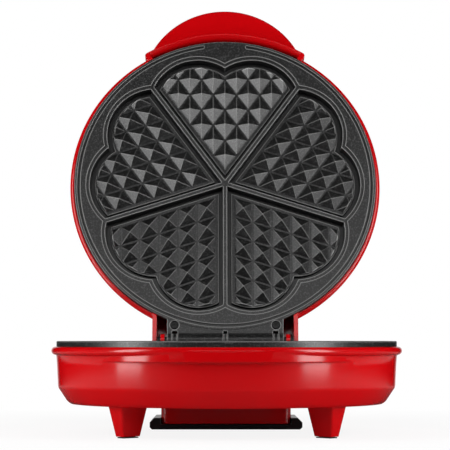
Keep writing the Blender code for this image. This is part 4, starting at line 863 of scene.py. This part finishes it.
def make_room(ambient_level):
    """White background; the object itself is lit dimly by it, and mirrors what lies behind."""
    world = bpy.data.worlds.new("room")
    bpy.context.scene.world = world
    world.use_nodes = True
    tree = world.node_tree
    tree.nodes.clear()
    path = tree.nodes.new("ShaderNodeLightPath")
    white, ambient, mirror = (tree.nodes.new("ShaderNodeBackground") for _ in range(3))
    white.inputs["Color"].default_value = (1.0, 1.0, 1.0, 1.0)
    ambient.inputs["Color"].default_value = (1.0, 1.0, 1.0, 1.0)
    ambient.inputs["Strength"].default_value = ambient_level
    place = tree.nodes.new("ShaderNodeTexCoord")
    split = tree.nodes.new("ShaderNodeSeparateXYZ")
    tree.links.new(place.outputs["Generated"], split.inputs[0])
    behind = add_range(tree, split.outputs["Y"], *STRAIGHT_BEHIND, 0.0, 1.0)
    tree.links.new(behind, mirror.inputs["Color"])
    glossy = tree.nodes.new("ShaderNodeMixShader")
    seen = tree.nodes.new("ShaderNodeMixShader")
    tree.links.new(path.outputs["Is Glossy Ray"], glossy.inputs[0])
    tree.links.new(ambient.outputs[0], glossy.inputs[1])
    tree.links.new(mirror.outputs[0], glossy.inputs[2])
    clear = add_math(tree, "MAXIMUM", path.outputs["Is Camera Ray"], path.outputs["Is Transmission Ray"])
    tree.links.new(clear, seen.inputs[0])
    tree.links.new(glossy.outputs[0], seen.inputs[1])
    tree.links.new(white.outputs[0], seen.inputs[2])
    out = tree.nodes.new("ShaderNodeOutputWorld")
    tree.links.new(seen.outputs[0], out.inputs["Surface"])


def hang_lamp(name, place, aim, size, power, mirrored):
    """Soft rectangular lamp; one that isn't mirrored gives light but doesn't show in the gloss."""
    data = bpy.data.lights.new(name, "AREA")
    data.shape = "RECTANGLE"
    data.size, data.size_y = size
    data.energy = power
    lamp = bpy.data.objects.new(name, data)
    bpy.context.scene.collection.objects.link(lamp)
    lamp.visible_glossy = mirrored
    lamp.location = place
    lamp.rotation_euler = (Vector(aim) - Vector(place)).to_track_quat("-Z", "Y").to_euler()


def set_camera():
    """Long lens from straight in front, framed by shifting it instead of tilting the camera."""
    to_left, distance, above_plate = 8.0, 1083.0, 1.27
    data = bpy.data.cameras.new("camera")
    data.sensor_width = 36.0
    data.lens = 144.04
    data.shift_x = 0.0262
    data.shift_y = 0.2531
    data.clip_end = 20.0
    camera = bpy.data.objects.new("camera", data)
    bpy.context.scene.collection.objects.link(camera)
    camera.location = (-to_left * MM, REAR_SHIFT - distance * MM, PLATE_LEVEL + above_plate * MM)
    camera.rotation_euler = (math.pi / 2, 0.0, 0.0)
    bpy.context.scene.camera = camera


make_table()
make_room(0.02)
MIDDLE = (0.0, 0.0, 0.12)
LAMPS = (
    ("left_softbox", (-0.56, -0.33, 0.21), (0.0, 0.0, 0.21), (0.20, 0.66), 3.0, True),
    ("right_softbox", (0.52, -0.39, 0.21), (0.0, 0.0, 0.21), (0.20, 0.66), 3.0, True),
    ("left_side", (-0.98, -0.40, 0.95), MIDDLE, (0.6, 0.6), 3.0, False),
    ("right_side", (0.98, -0.40, 0.95), MIDDLE, (0.6, 0.6), 3.0, False),
    ("left_wall", (-1.20, 0.10, 0.30), MIDDLE, (1.1, 0.6), 4.5, False),
    ("right_wall", (1.20, 0.10, 0.30), MIDDLE, (1.1, 0.6), 4.0, False),
    ("overhead", (0.0, 0.30, 1.30), MIDDLE, (1.2, 0.8), 4.0, False),
    ("low_front", (0.0, -1.80, 0.85), MIDDLE, (1.5, 0.40), 4.2, True),
)
for name, place, aim, size, power, mirrored in LAMPS:
    hang_lamp(name, place, aim, size, power, mirrored)
set_camera()
bpy.context.scene.view_settings.view_transform = "Standard"
